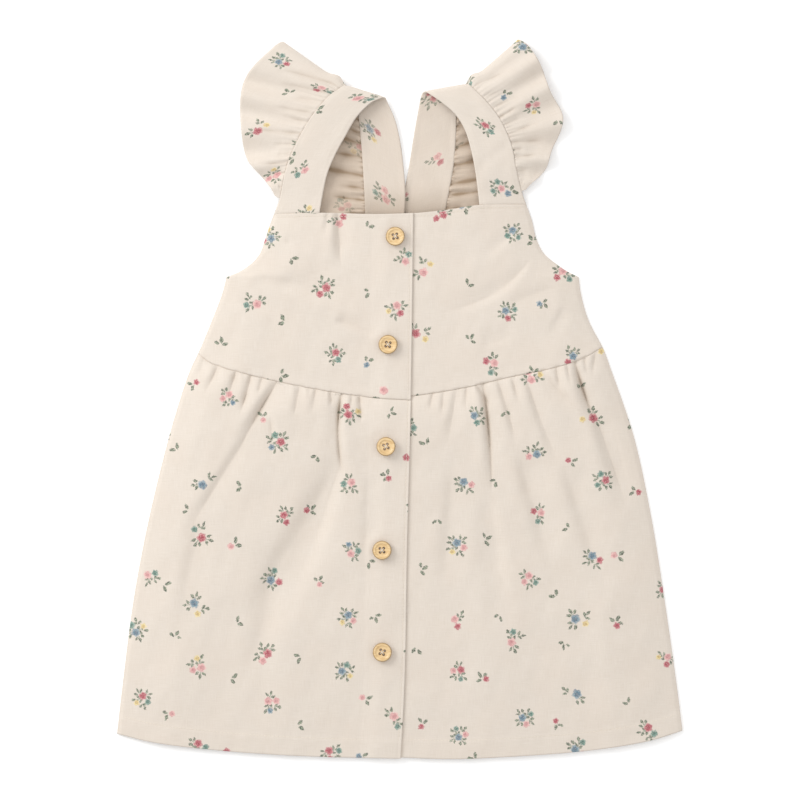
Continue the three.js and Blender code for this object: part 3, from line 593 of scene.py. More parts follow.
def front_edges(low, high, is_left, shifts):
    """The left and right edges of a front panel: its side seam and the opening, past which the right one
    goes under. The left panel's rows start at its side seam, and the right panel's end there."""
    under = 0.0 if is_left else -PLACKET_OVERLAP
    seam, middle = (0, -1) if is_left else (-1, 0)
    edges = [up_edge(side, low["y"][end] + shifts[0], high["y"][end] + shifts[1]) for side, end in (
        (left_side if is_left else right_side, seam), (lambda y: opening_x(y) + under, middle))]
    return edges if is_left else edges[::-1]


def band(distance, edge, soft):
    """1 nearer than edge and 0 beyond it, eased over the soft width."""
    return 1 - ease((distance - edge) / soft + 0.5)


def groove(distance, at, width):
    """A Gaussian dent at a distance from an edge."""
    return np.exp(-((distance - at) / width) ** 2)


def seam_relief(x, y, is_skirt, is_left, low_curve, high_curve):
    """Doubled cloth as eased bands and stitches as Gaussian dents on the outer face: the turned hem and the
    pressed waist seam on the skirt, the pressed seam and the turned neckline on the bodice, and the faced
    placket on the left panels."""
    relief = np.zeros(x.shape)
    from_low, from_high, from_opening = y - low_curve(x), high_curve(x) - y, np.abs(opening_x(y) - x)
    if is_skirt:
        relief += 0.34 * band(from_low, HEM_TURN, 1.2) - 0.26 * groove(from_low, HEM_STITCH, 0.7)
        relief -= 0.12 * groove(from_high, 0.0, 1.6)
    else:
        relief -= 0.30 * groove(from_low, 0.0, 0.7)
        relief += 0.18 * band(from_low, 5.0, 3.0)
        relief -= 0.20 * groove(from_high, NECK_STITCH, 0.6)
        relief += 0.12 * band(from_high, NECK_TURN, 1.0)
    if is_left:
        relief += 0.22 * band(from_opening, FACING, 3.0) - 0.18 * groove(from_opening, EDGE_STITCH, 0.6)
    return relief


def skirt_rows(count):
    """Places up the skirt, closest together in the turned hem and near the waist."""
    hem, hem_rows = 0.062, count // 7
    body = 1 - (1 - np.linspace(0, 1, count - hem_rows)) ** 1.45
    return np.concatenate([np.linspace(0, hem, hem_rows, endpoint=False), mix(hem, 1, body)])


def bodice_rows(count):
    """Places up the bodice, with half the rows below the underarm."""
    underarm, half = 0.54, count // 2
    low = np.linspace(0, underarm, half, endpoint=False)
    return np.concatenate([low, np.linspace(underarm, 1, count - half)])


def front_panel(name, low, high, is_left, is_skirt, columns, rows, print_shift):
    """One front panel's shell: the plan, the height of its inner face, and the outer face a cloth's
    thickness and the seam relief above it. The skirt's top edge is tucked under the bodice's lower edge."""
    shifts = (0.0, TUCK) if is_skirt else BODICE_SHIFTS
    low_curve, high_curve = across_curve(low), across_curve(high)
    left, right = front_edges(low, high, is_left, shifts)
    up = skirt_rows(rows) if is_skirt else bodice_rows(rows)
    x, y = panel_plan(left, right, low_curve, high_curve, shifts, np.linspace(0, 1, columns), up)
    height = lap_height(x, y) if is_left else front_height(x, y)
    if is_skirt:
        tucked = ease((y - high_curve(x) + 0.45) / 0.55)
        height = np.maximum(height - (CLOTH + 0.1) * tucked, TUCK_LOWEST)
    relief = seam_relief(x, y, is_skirt, is_left, low_curve, high_curve)
    lower = np.stack([x, y, height], axis=-1)
    upper = np.stack([x, y, height + CLOTH + relief], axis=-1)
    uv = np.stack([x + print_shift[0], y + print_shift[1]], axis=-1)
    # The last argument is the painted shade along the creases' sharp lines.
    return wall(name, lower, upper, uv, (1, 0), crease_shade(front_creases(x, y)[1]))


def back_relief(x, y):
    """How far the back is pressed up from the table, and the painted shade in its creases: shallow copies of
    the front skirt's creases, mirrored and kept at their distance from the waist seam, with fine gathers and a
    ripple. It eases to nothing at the side seams and bends over towards its highest value by a tanh."""
    below = np.maximum(0, waist(x) - y)
    mirrored = BACK_MIRROR - x
    soft, sharp = crease_parts(SKIRT_CREASES, mirrored, y - waist(x) + waist(mirrored), below_waist)
    gathering = 0.5 + 0.5 * np.sin(x * 0.52 + 1.7 * np.sin(x * 0.093) + 0.002 * x * below)
    fine = 0.5 + puckers(x, BACK_PUCKERS)
    skirt = 0.30 * gathering ** 3 * np.exp(-below / 48) + 0.12 * fine ** 2 * np.exp(-below / 12)
    in_skirt = y < waist(x)
    skirt += BACK_CREASE * np.maximum(0, soft + sharp)
    ripple = 0.16 * np.maximum(0, 1 + soft_noise(x, y, 42, 11))
    relief = (ripple + np.where(in_skirt, skirt, 0)) * ease(from_sides(x, y) / (2 * SEAM_REACH))
    return 0.02 + BACK_HIGHEST * np.tanh(relief / BACK_HIGHEST), crease_shade(np.where(in_skirt, sharp, 0))


def back_panel(name, low_curve, high_curve, low_y, high_y, columns, rows):
    """One back panel's shell, flat on the table but for shallow troughs in its outer face."""
    left = up_edge(left_side, low_y[0], high_y[0])
    right = up_edge(right_side, low_y[1], high_y[1])
    x, y = panel_plan(left, right, low_curve, high_curve, (0, 0), np.linspace(0, 1, columns),
                      np.linspace(0, 1, rows))
    height, crease = back_relief(x, y)
    lower = np.stack([x, y, height], axis=-1)
    upper = np.stack([x, y, height + BACK_CLOTH], axis=-1)
    uv = np.stack([-x + 17.0, y + 9.0], axis=-1)
    return wall(name, lower, upper, uv, (0, 1), crease)


# Straps and ruffles

def rails(stations, s):
    """The three rails at stations s: uniform Catmull-Rom curves through the rows of the table."""
    out = []
    i = np.clip(np.floor(s).astype(int), 0, int(LAST_STATION) - 1)
    t = (s - i)[..., None]
    for key in "isf":
        p = np.stack([stations[key + axis] for axis in "xyz"], axis=-1)
        p = np.concatenate([2 * p[:1] - p[1:2], p, 2 * p[-1:] - p[-2:-1]])
        a, b, c, d = p[i], p[i + 1], p[i + 2], p[i + 3]
        out.append(0.5 * (2 * b + (c - a) * t + (2 * a - 5 * b + 4 * c - d) * t ** 2
                          + (3 * b - a - 3 * c + d) * t ** 3))
    return out


def lengths_along(points):
    """Distance along each row of a grid of points from its first column."""
    steps = np.linalg.norm(np.diff(points, axis=1), axis=-1)
    return np.concatenate([np.zeros((len(points), 1)), np.cumsum(steps, axis=1)], axis=1)


def unit(vectors):
    """Vectors scaled to length one."""
    return vectors / np.maximum(np.linalg.norm(vectors, axis=-1, keepdims=True), 1e-9)


def grid_normals(points):
    """Unit normals of a grid: the cross product of its differences along and across."""
    return unit(np.cross(np.gradient(points, axis=1), np.gradient(points, axis=0)))


def strap_stations(columns):
    """Stations along a strap, closer together round the shoulder fold."""
    third = columns // 3
    return np.concatenate([
        np.linspace(-0.3, 6.8, third, endpoint=False), np.linspace(6.8, 9.2, third, endpoint=False),
        np.linspace(9.2, LAST_STATION, columns - 2 * third),
    ])


def upward(points):
    """Unit normals of a folded grid, turned so that they point up on its front half."""
    normal = grid_normals(points)
    rows, columns = points.shape[:2]
    return normal if normal[rows // 2, columns // 8, 2] > 0 else -normal


def folded_wall(name, middle, relief, uv, wrong_side_and_shade, crease):
    """The shell of a folded sheet: half a cloth's thickness to each side of its middle surface, with the
    relief on its outer face, and clear of the table."""
    normal = upward(middle)
    outer = middle + normal * (CLOTH / 2 + relief)
    inner = middle - normal * (CLOTH / 2)
    for face in (outer, inner):
        face[..., 2] = np.maximum(face[..., 2], LEAST_HEIGHT)
    return wall(name, inner, outer, uv, wrong_side_and_shade, crease)


def strap(name, stations, is_left, columns=250, rows=29):
    """A strap's shell: straight across from the inner rail to the seam rail, plumped a little in its middle,
    with a pressed dent beside each edge and a few soft creases. Its back half gets a painted shadow by an
    eased ramp where it runs in under the front bodice, and its inside the wrong side's painted shade."""
    s = strap_stations(columns)
    inner, seam, _ = rails(stations, s)
    width = np.linalg.norm(seam - inner, axis=-1)[None, :]
    t = np.broadcast_to(np.linspace(0, 1, rows)[:, None], (rows, columns))
    s = np.broadcast_to(s, t.shape)
    middle = inner[None] + (seam - inner)[None] * t[..., None]
    middle[..., 2] -= 1.6 * ease(0.25 - s / 0.35)
    from_edge = np.minimum(t, 1 - t) * width
    away = np.minimum(np.abs(s - FOLD_STATION), 1)
    plump = 0.35 * (1 - (1 - clamp(from_edge / 6)) ** 2)
    dent = 0.16 * groove(from_edge, EDGE_STITCH, 0.6)
    ripple = 0.30 * soft_noise(s * STATION_MM, t * 30, 22, 21 if is_left else 22)
    drag = 0.7 * np.exp(-((s - 2.0 - 1.4 * t) / 0.35) ** 2) * clamp(from_edge / 6)
    lift = plump - dent + ripple * away * clamp(from_edge / 5) - drag
    middle = middle + upward(middle) * lift[..., None]
    uv = np.stack([t * width + (11 if is_left else 64), lengths_along(middle) + 25], axis=-1)
    # Painted shadow where the strap's back half runs in under the front bodice.
    under = UNDER_SHADE * ease((UNDER_TOP - middle[..., 1]) / UNDER_REACH) * (s > FOLD_STATION)
    return folded_wall(name, middle, 0.0, uv, (STRAP_INSIDE_SHADE, 0), under)


def ruffle_wave(s, t):
    """Height of a ruffle's broad waves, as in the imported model: a sine along each side of the fold, still at
    the fold and at the ends, that grows from seam to free edge as t to the 0.7."""
    front = s < FOLD_STATION
    run = (s - FOLD_STATION) / np.where(front, RUFFLE_START - FOLD_STATION, LAST_STATION - FOLD_STATION)
    still = ease((np.abs(s - FOLD_STATION) - 0.4) / 1.6) * ease((1 - run) / 0.12)
    count = np.where(front, FRONT_WAVES, BACK_WAVES)
    height = np.where(front, FRONT_WAVE_HEIGHT, BACK_WAVE_HEIGHT)
    return height * still * t ** 0.7 * np.sin(2 * math.pi * count * run), still


def gathers(s, t, creases):
    """How far a ruffle's gathers sink it: its charted creases, and fine uneven puckers that die away from
    the seam. The second result is the creases' sharp part alone."""
    pucker = puckers(s, RUFFLE_PUCKERS) * np.exp(-t / 0.2) * clamp(t / 0.03)
    soft, sharp = crease_parts(creases, s * STATION_MM, t * ACROSS_MM, below_ruffle_seam)
    stronger = np.where(s > FOLD_STATION, 1.8, 1.0)
    return stronger * (soft + sharp + pucker), stronger * sharp


def shoulder_head(s, t, fold):
    """How far a ruffle stands out past the shoulder fold, square to the fold's own direction: a Gaussian of
    the way across and of the station."""
    outward = np.array([-fold[1], fold[0]]) * np.sign(fold[0]) / np.hypot(*fold)
    head = SHOULDER_HEAD * np.exp(-((t - 0.13) / 0.10) ** 2) * np.exp(-((s - FOLD_STATION) / 0.9) ** 2)
    return head[..., None] * outward


def seam_pit_shade(s, beyond):
    """Painted shade of small pits along a ruffle's seam: the positive part of a swaying sine of the station,
    within about two millimetres of the seam by a Gaussian."""
    row = clamp(1.6 * puckers(s, ((1, 30, 2, 7),)) - 0.4)
    return SEAM_PIT_SHADE * row * np.exp(-(np.maximum(beyond, 0) / 2.0) ** 2)


def ruffle(name, stations, is_left, creases, columns=430, rows=50):
    """A ruffle's shell: straight across from the seam rail to the free rail, raised by its waves and sunk by
    its gathers, with a narrow hem. Its seam edge is tucked under the strap's edge."""
    s = np.concatenate([
        np.linspace(RUFFLE_START, 7.2, columns // 2, endpoint=False),
        np.linspace(7.2, 8.8, 60, endpoint=False),
        np.linspace(8.8, LAST_STATION, columns - columns // 2 - 60),
    ])
    _, seam, free = rails(stations, s)
    fold = (free - seam)[np.argmin(np.abs(s - FOLD_STATION)), :2]
    width = np.linalg.norm(free - seam, axis=-1)[None, :]
    share = mix(-RUFFLE_TUCK / width, 1.0, (np.linspace(0, 1, rows) ** 1.15)[:, None])
    middle = seam[None] + (free - seam)[None] * share[..., None]
    s = np.broadcast_to(s, share.shape)
    t = clamp(share)
    front = s < FOLD_STATION
    wave, still = ruffle_wave(s, t)
    ripple = 0.35 * soft_noise(s * 13, t * 50, 21, 31 if is_left else 32) * t
    end = ease(np.minimum(s - RUFFLE_START, LAST_STATION - s) / 0.5)
    sunk, sharp = gathers(s, t, creases)
    middle[..., 2] += wave + (ripple - sunk) * clamp(still * 2 + 0.15) * end
    middle[..., :2] += shoulder_head(s, t, fold)
    beyond = share * width
    tuck = (CLOTH + 0.1) * (1 - ease((beyond + 0.2) / 0.7)) * np.where(front, 1.0, 0.6)
    tuck = tuck * ease(np.abs(s - FOLD_STATION) / 0.8)
    middle[..., 2] = np.maximum(middle[..., 2] - tuck, RUFFLE_LOWEST)
    from_free = (1 - t) * width
    hem = 0.14 * band(from_free, 4.0, 0.8) - 0.12 * groove(from_free, 3.6, 0.5)
    u = np.broadcast_to(lengths_along(middle)[-1:, :], share.shape) + (150 if is_left else 40)
    uv = np.stack([u, beyond + (30 if is_left else 96)], axis=-1)
    # Painted shade in the gathers' sharp lines, and the painted shade of the pits along the back seam.
    crease = crease_shade(sharp * np.where(front, *RUFFLE_CREASE_SHADE) * end)
    crease = clamp(crease + np.where(front, 0, seam_pit_shade(s, beyond)))
    return folded_wall(name, middle, hem[..., None], uv, (1, 0), crease)


# Stitches

def stitches(name, lines, pitch):
    """Thread stitches along each line of points: capsules of three rings between two tips, one every pitch,
    each laid along the line's direction where it lies."""
    ring_places = STITCH_LENGTH * np.array([-0.5, -0.38, 0.0, 0.38, 0.5])
    ring_sizes = STITCH_RADIUS * np.array([0.15, 0.85, 1.0, 0.85, 0.15])
    rings, size = len(ring_places), len(ring_places) * STITCH_SIDES
    turn = np.linspace(0, 2 * math.pi, STITCH_SIDES, endpoint=False)
    ends = np.array([[0, 5, 4, 3], [0, 3, 2, 1]])
    one = np.concatenate([ring_quads(rings, STITCH_SIDES), ends, ends[:, ::-1] + size - STITCH_SIDES])
    points = []
    for line in lines:
        run = np.concatenate([[0], np.cumsum(np.linalg.norm(np.diff(line, axis=0), axis=-1))])
        centres = np.arange(pitch, run[-1] - pitch, pitch)
        place, ahead = (np.stack([np.interp(at, run, line[:, k]) for k in range(3)], axis=-1)
                        for at in (centres, centres + 0.4))
        forward = unit(ahead - place)
        sideways = unit(np.cross(forward, [0, 0, 1.0]))
        down = np.cross(forward, sideways)
        circle = np.cos(turn)[:, None] * sideways[:, None] + np.sin(turn)[:, None] * down[:, None]
        points.append((place[:, None, None] + forward[:, None, None] * ring_places[:, None, None]
                       + circle[:, None] * ring_sizes[:, None, None]).reshape(-1, 3))
    points = np.concatenate(points)
    first = np.arange(0, len(points), size)
    quads = (one[None] + first[:, None, None]).reshape(-1, 4)
    return mesh_from(name, points, quads, np.ones(len(quads), dtype=bool))


# Materials

class Nodes:
    """Short calls that add nodes to a tree and link them."""

    def __init__(self, tree):
        self.tree = tree

    def new(self, kind, **settings):
        node = self.tree.nodes.new(kind)
        for key, value in settings.items():
            setattr(node, key, value)
        return node

    def feed(self, target, value):
        """Links a socket to the target, or sets the target's own value."""
        if isinstance(value, bpy.types.NodeSocket):
            self.tree.links.new(value, target)
        else:
            target.default_value = value

    def math(self, operation, *values):
        node = self.new("ShaderNodeMath", operation=operation)
        for target, value in zip(node.inputs, values):
            self.feed(target, value)
        return node.outputs[0]

    def vector(self, operation, *values, output=0):
        node = self.new("ShaderNodeVectorMath", operation=operation)
        for target, value in zip(node.inputs, values):
            self.feed(target, value)
        return node.outputs[output]

    def scale(self, vector, factor):
        node = self.new("ShaderNodeVectorMath", operation="SCALE")
        self.feed(node.inputs[0], vector)
        self.feed(node.inputs["Scale"], factor)
        return node.outputs[0]

    def join(self, x, y, z=0.0):
        node = self.new("ShaderNodeCombineXYZ")
        for target, value in zip(node.inputs, (x, y, z)):
            self.feed(target, value)
        return node.outputs[0]

    def split(self, vector):
        node = self.new("ShaderNodeSeparateXYZ")
        self.feed(node.inputs[0], vector)
        return node.outputs

    def turn(self, vector, angle):
        node = self.new("ShaderNodeVectorRotate", rotation_type="Z_AXIS")
        self.feed(node.inputs["Vector"], vector)
        self.feed(node.inputs["Angle"], angle)
        return node.outputs[0]

    def ramp(self, value, low, high, smooth=True):
        """0 at low and 1 at high, with a smooth or a straight run between them."""
        node = self.new("ShaderNodeMapRange", interpolation_type="SMOOTHSTEP" if smooth else "LINEAR")
        self.feed(node.inputs["Value"], value)
        self.feed(node.inputs["From Min"], low)
        self.feed(node.inputs["From Max"], high)
        return node.outputs["Result"]

    def blend(self, share, a, b, kind="MIX"):
        node = self.new("ShaderNodeMix", data_type="RGBA", blend_type=kind)
        self.feed(node.inputs["Factor"], share)
        self.feed(node.inputs["A"], a)
        self.feed(node.inputs["B"], b)
        return node.outputs["Result"]

    def noise(self, vector, scale, detail=2.0, roughness=0.5, output="Fac"):
        node = self.new("ShaderNodeTexNoise")
        self.feed(node.inputs["Vector"], vector)
        node.inputs["Scale"].default_value = scale
        node.inputs["Detail"].default_value = detail
        node.inputs["Roughness"].default_value = roughness
        return node.outputs[output]

    def random(self, vector):
        """Three random numbers for a cell."""
        node = self.new("ShaderNodeTexWhiteNoise", noise_dimensions="3D")
        self.feed(node.inputs["Vector"], vector)
        return self.split(node.outputs["Color"])

    def attribute(self, name, output="Fac"):
        return self.new("ShaderNodeAttribute", attribute_name=name).outputs[output]

    def set(self, node, values):
        """Feeds a node's inputs by name."""
        for key, value in values.items():
            self.feed(node.inputs[key], value)

    def group(self, group, **values):
        """The colour that a node group gives."""
        node = self.new("ShaderNodeGroup")
        node.node_tree = group
        self.set(node, values)
        return node.outputs["Colour"]

    def finish(self, shader, colour, height, strength, distance, **values):
        """Feeds a Principled shader its colour, a bump of this height and its other values."""
        bump = self.new("ShaderNodeBump")
        self.set(bump, {"Strength": strength, "Distance": distance, "Height": height})
        self.set(shader, {"Base Color": colour, "Normal": bump.outputs[0]})
        self.set(shader, {name.replace("_", " "): value for name, value in values.items()})


def linear(red, green, blue):
    """An sRGB colour from 0 to 255, as the linear colour that shaders read."""
    def one(value):
        v = value / 255
        return v / 12.92 if v <= 0.04045 else ((v + 0.055) / 1.055) ** 2.4
    return (one(red), one(green), one(blue), 1.0)


ROSE = linear(188, 98, 108)
PINK = linear(224, 172, 168)
TEAL = linear(108, 148, 134)
BLUE = linear(112, 144, 158)
YELLOW = linear(226, 208, 144)
LEAF = linear(138, 148, 126)
DARK_LEAF = linear(62, 70, 60)
# A petal's printed shade and its paler edge, a leaf's vein, the painted shade at the bottom of a crease and
# the cloth's faint blotches.
PETAL_SHADE = (0.60, 0.42, 0.50, 1)
PETAL_LIGHT = (0.93, 0.82, 0.76, 1)
LEAF_VEIN = (0.72, 0.78, 0.66, 1)
CREASE_SHADE_TINT = (0.56, 0.49, 0.41, 1)
BLOTCH = (0.72, 0.60, 0.50, 1)


def start_group(name, inputs):
    """A node group that gives a colour: its tree, the Nodes that fill it and its input sockets. The inputs
    are words, each with V, F or C before it for a vector, a number or a colour."""
    kinds = {"V": "NodeSocketVector", "F": "NodeSocketFloat", "C": "NodeSocketColor"}
    tree = bpy.data.node_groups.new(name, "ShaderNodeTree")
    for word in inputs.split():
        tree.interface.new_socket(word[1:], in_out="INPUT", socket_type=kinds[word[0]])
    tree.interface.new_socket("Colour", in_out="OUTPUT", socket_type=kinds["C"])
    n = Nodes(tree)
    start = n.new("NodeGroupInput").outputs
    end = n.new("NodeGroupOutput").inputs["Colour"]
    return tree, n, start, end


def flower_group():
    """A five-petalled flower: inside where the distance from its middle is less than
    0.72 + 0.30 |cos(5/2 angle)|^0.7 of its radius, darker between the petals, in its heart and along a
    spiral, the sine of the angle plus eight times the distance."""
    tree, n, start, end = start_group("printed_flower", "VPlace FX FY FRadius FTwist CPetal CUnder FShown")
    near = n.vector("SUBTRACT", start["Place"], n.join(start["X"], start["Y"]))
    x, y, _ = n.split(near)
    r = n.math("DIVIDE", n.vector("LENGTH", n.join(x, y), output=1), start["Radius"])
    angle = n.math("MULTIPLY_ADD", n.math("ARCTAN2", y, x), 2.5, start["Twist"])
    petal = n.math("POWER", n.math("ABSOLUTE", n.math("COSINE", angle)), 0.7)
    reach = n.math("MULTIPLY_ADD", petal, 0.30, 0.72)
    mask = n.math("MULTIPLY", n.ramp(n.math("SUBTRACT", reach, r), -0.05, 0.07), start["Shown"])
    between = n.math("MULTIPLY", n.ramp(petal, 0.55, 0.1), n.ramp(r, 1.0, 0.45))
    root = n.math("MAXIMUM", between, n.math("MULTIPLY", n.ramp(r, 0.5, 0.25), 0.8))
    shade = n.blend(1.0, start["Petal"], PETAL_SHADE, "MULTIPLY")
    light = n.blend(0.30, start["Petal"], PETAL_LIGHT)
    petals = n.blend(n.ramp(r, 0.45, 0.95), start["Petal"], light)
    swirl = n.math("SINE", n.math("MULTIPLY_ADD", r, 8.0, n.math("ARCTAN2", y, x)))
    petals = n.blend(n.math("MULTIPLY", n.ramp(swirl, 0.1, 0.9), 0.45), petals, shade)
    coloured = n.blend(n.math("MULTIPLY", root, 0.65), petals, shade)
    n.feed(end, n.blend(mask, start["Under"], coloured))
    return tree


def leaf_group():
    """A pointed leaf: inside where the distance from its midline is less than its half width times one less
    the square of its place along it, with a pale vein."""
    tree, n, start, end = start_group(
        "printed_leaf", "VPlace FX FY FAngle FLength FWidth CLeaf CUnder FShown")
    near = n.vector("SUBTRACT", start["Place"], n.join(start["X"], start["Y"]))
    x, y, _ = n.split(n.turn(near, n.math("MULTIPLY", start["Angle"], -1.0)))
    half = n.math("MULTIPLY", start["Length"], 0.5)
    along = n.math("DIVIDE", x, half)
    bulge = n.math("SUBTRACT", 1.0, n.math("MULTIPLY", along, along))
    edge = n.math("SUBTRACT", n.math("MULTIPLY", bulge, n.math("MULTIPLY", start["Width"], 0.5)),
                  n.math("ABSOLUTE", y))
    mask = n.math("MULTIPLY", n.ramp(edge, -0.06, 0.08), start["Shown"])
    vein = n.ramp(n.math("ABSOLUTE", y), 0.20, 0.06)
    pale = n.blend(0.45, start["Leaf"], LEAF_VEIN)
    coloured = n.blend(n.math("MULTIPLY", vein, 0.7), start["Leaf"], pale)
    n.feed(end, n.blend(mask, start["Under"], coloured))
    return tree


def lattice(n, place, shift, seed):
    """Half-drop cells over the print map: the place inside the cell, nudged, turned, mirrored and sized at
    random, and five of the cell's random numbers."""
    moved = n.turn(n.vector("ADD", place, shift), PRINT_TURN)
    x, y, _ = n.split(n.scale(moved, 1.0 / PRINT_CELL))
    column = n.math("FLOOR", x)
    drop = n.math("MULTIPLY", n.math("MODULO", n.math("ABSOLUTE", column), 2.0), 0.5)
    y = n.math("ADD", y, drop)
    row = n.math("FLOOR", y)
    turn, first, second = n.random(n.join(column, row, float(seed)))
    nudges = n.random(n.join(column, row, float(seed) + 0.5))
    inside = n.join(n.math("SUBTRACT", n.math("SUBTRACT", x, column), 0.5),
                    n.math("SUBTRACT", n.math("SUBTRACT", y, row), 0.5))
    nudge = n.vector("MULTIPLY", n.vector("SUBTRACT", n.join(*nudges), (0.5, 0.5, 0.5)), PRINT_NUDGE)
    local = n.scale(n.vector("SUBTRACT", inside, nudge), PRINT_CELL)
    local = n.turn(local, n.math("MULTIPLY", turn, 2 * math.pi))
    mirror = n.math("SUBTRACT", n.math("MULTIPLY", n.math("GREATER_THAN", nudges[2], 0.5), 2.0), 1.0)
    size = n.math("MULTIPLY_ADD", nudges[0], 0.20, 0.86)
    local = n.vector("MULTIPLY", n.scale(local, size), n.join(mirror, 1.0, 1.0))
    return local, first, second, nudges


def choose(n, value, *stops):
    """Picks one of several colours by a random value from 0 to 1. Stops are (upper limit, colour)."""
    out = stops[-1][1]
    for limit, colour in reversed(stops[:-1]):
        out = n.blend(n.math("LESS_THAN", value, limit), out, colour)
    return out


# The print's cell in millimetres, its turn, and how far a motif is nudged in its cell.
PRINT_CELL, PRINT_TURN, PRINT_NUDGE = 50.5, 0.06, (0.34, 0.34, 0.0)
# The posy's leaves in sprigs and the small sprig's leaves, in millimetres from the motif's middle: x, y,
# angle, length and width, then for the posy the sprig that the leaf belongs to, and for the small sprig the
# random number below which the leaf is left out. A flower has x, y, radius and twist.
POSY_LEAVES = (
    (0.5, -2.8, -1.5, 5.8, 0.6, 0), (1.5, -0.8, -0.5, 3.9, 1.8, 0), (-1.3, -2.8, -2.3, 3.8, 1.8, 0),
    (2.0, -3.9, -0.8, 3.5, 1.7, 0), (0.4, -6.6, -1.5, 4.0, 2.0, 0),
    (-2.8, 4.2, 2.1, 4.4, 0.6, 1), (-3.4, 6.8, 1.9, 4.0, 1.9, 1), (-5.2, 4.2, 2.8, 3.9, 1.8, 1),
    (-0.8, 5.4, 1.1, 3.9, 1.9, 1),
    (5.2, 0.8, 0.35, 4.4, 0.6, 2), (7.2, 1.8, 0.4, 3.8, 1.8, 2), (5.6, -1.2, -0.6, 3.7, 1.7, 2),
    (4.5, 1.6, 1.4, 3.4, 1.7, 2),
    (-5.0, -2.2, 3.6, 4.4, 0.6, 3), (-6.8, -3.2, 3.7, 3.8, 1.8, 3), (-6.2, -0.6, 2.8, 3.6, 1.7, 3),
    (-3.8, -4.4, 4.2, 3.8, 1.9, 3),
)
POSY_FLOWERS = ((3.2, -4.3, 2.3, 0.7), (2.7, 4.3, 2.7, 0.2), (-2.0, 0.7, 3.2, 1.2))
SPRIG_LEAVES = (
    (-0.2, 1.8, 1.45, 5.0, 2.4, 0), (-3.0, -1.0, 2.9, 4.6, 2.3, 0), (2.7, -0.4, 0.25, 3.8, 2.0, 0.6),
)


def print_group():
    """The flower print: posies in one half-drop lattice, and small sprigs in another. The ink's edges are
    made uneven by noise."""
    flower, leaf = flower_group(), leaf_group()
    tree, n, start, end = start_group("flower_print", "VPlace CCloth")
    broad = n.vector("SUBTRACT", n.noise(start["Place"], 0.55, 0.0, 0.5, "Color"), (0.5, 0.5, 0.5))
    fine = n.vector("SUBTRACT", n.noise(start["Place"], 2.2, 1.0, 0.6, "Color"), (0.5, 0.5, 0.5))
    place = n.vector("ADD", start["Place"], n.vector("ADD", n.scale(broad, 1.2), n.scale(fine, 2.0)))
    speckle = n.noise(start["Place"], 0.9, 1.0, 0.6)
    green = n.blend(n.ramp(speckle, 0.42, 0.58), DARK_LEAF, LEAF)
    colour = start["Cloth"]

    def seen(value, limit):
        return n.math("GREATER_THAN", value, limit)

    local, first, second, more = lattice(n, place, (7.0, 3.0, 0.0), 3)
    shown = [seen(more[0], 0.08), seen(more[1], 0.22), seen(second, 0.25), seen(first, 0.40)]
    for x, y, angle, length, width, sprig in POSY_LEAVES:
        colour = n.group(leaf, Under=colour, Place=local, X=x, Y=y, Angle=angle, Length=length, Width=width,
                         Leaf=green, Shown=shown[sprig])
    petals = (
        choose(n, more[2], (0.42, TEAL), (0.55, BLUE), (1.0, YELLOW)),
        choose(n, second, (0.40, ROSE), (0.66, TEAL), (1.0, PINK)),
        choose(n, first, (0.36, PINK), (0.74, ROSE), (1.0, BLUE)),
    )
    shown = (seen(more[1], 0.3), seen(more[0], 0.2), 1.0)
    for (x, y, radius, twist), petal, there in zip(POSY_FLOWERS, petals, shown):
        colour = n.group(flower, Under=colour, Place=local, X=x, Y=y, Radius=radius, Twist=twist, Petal=petal,
                         Shown=there)

    local, first, second, more = lattice(n, place, (33.0, 30.0, 0.0), 11)
    for x, y, angle, length, width, limit in SPRIG_LEAVES:
        colour = n.group(leaf, Under=colour, Place=local, X=x, Y=y, Angle=angle, Length=length, Width=width,
                         Leaf=green, Shown=seen(more[1], limit) if limit else 1.0)
    bud = choose(n, first, (0.5, ROSE), (0.8, BLUE), (1.0, PINK))
    colour = n.group(flower, Under=colour, Place=local, X=1.6, Y=-3.0, Radius=2.4, Twist=0.4, Petal=bud,
                     Shown=seen(second, 0.72))
    worn = n.math("MULTIPLY", n.ramp(n.noise(start["Place"], 1.3, 2.0, 0.7), 0.50, 0.66), 0.55)
    n.feed(end, n.blend(worn, colour, start["Cloth"]))
    return tree


def start_material(name):
    """A material: itself, the Nodes that fill it and its Principled shader."""
    made = bpy.data.materials.new(name)
    made.use_nodes = True
    return made, Nodes(made.node_tree), made.node_tree.nodes["Principled BSDF"]


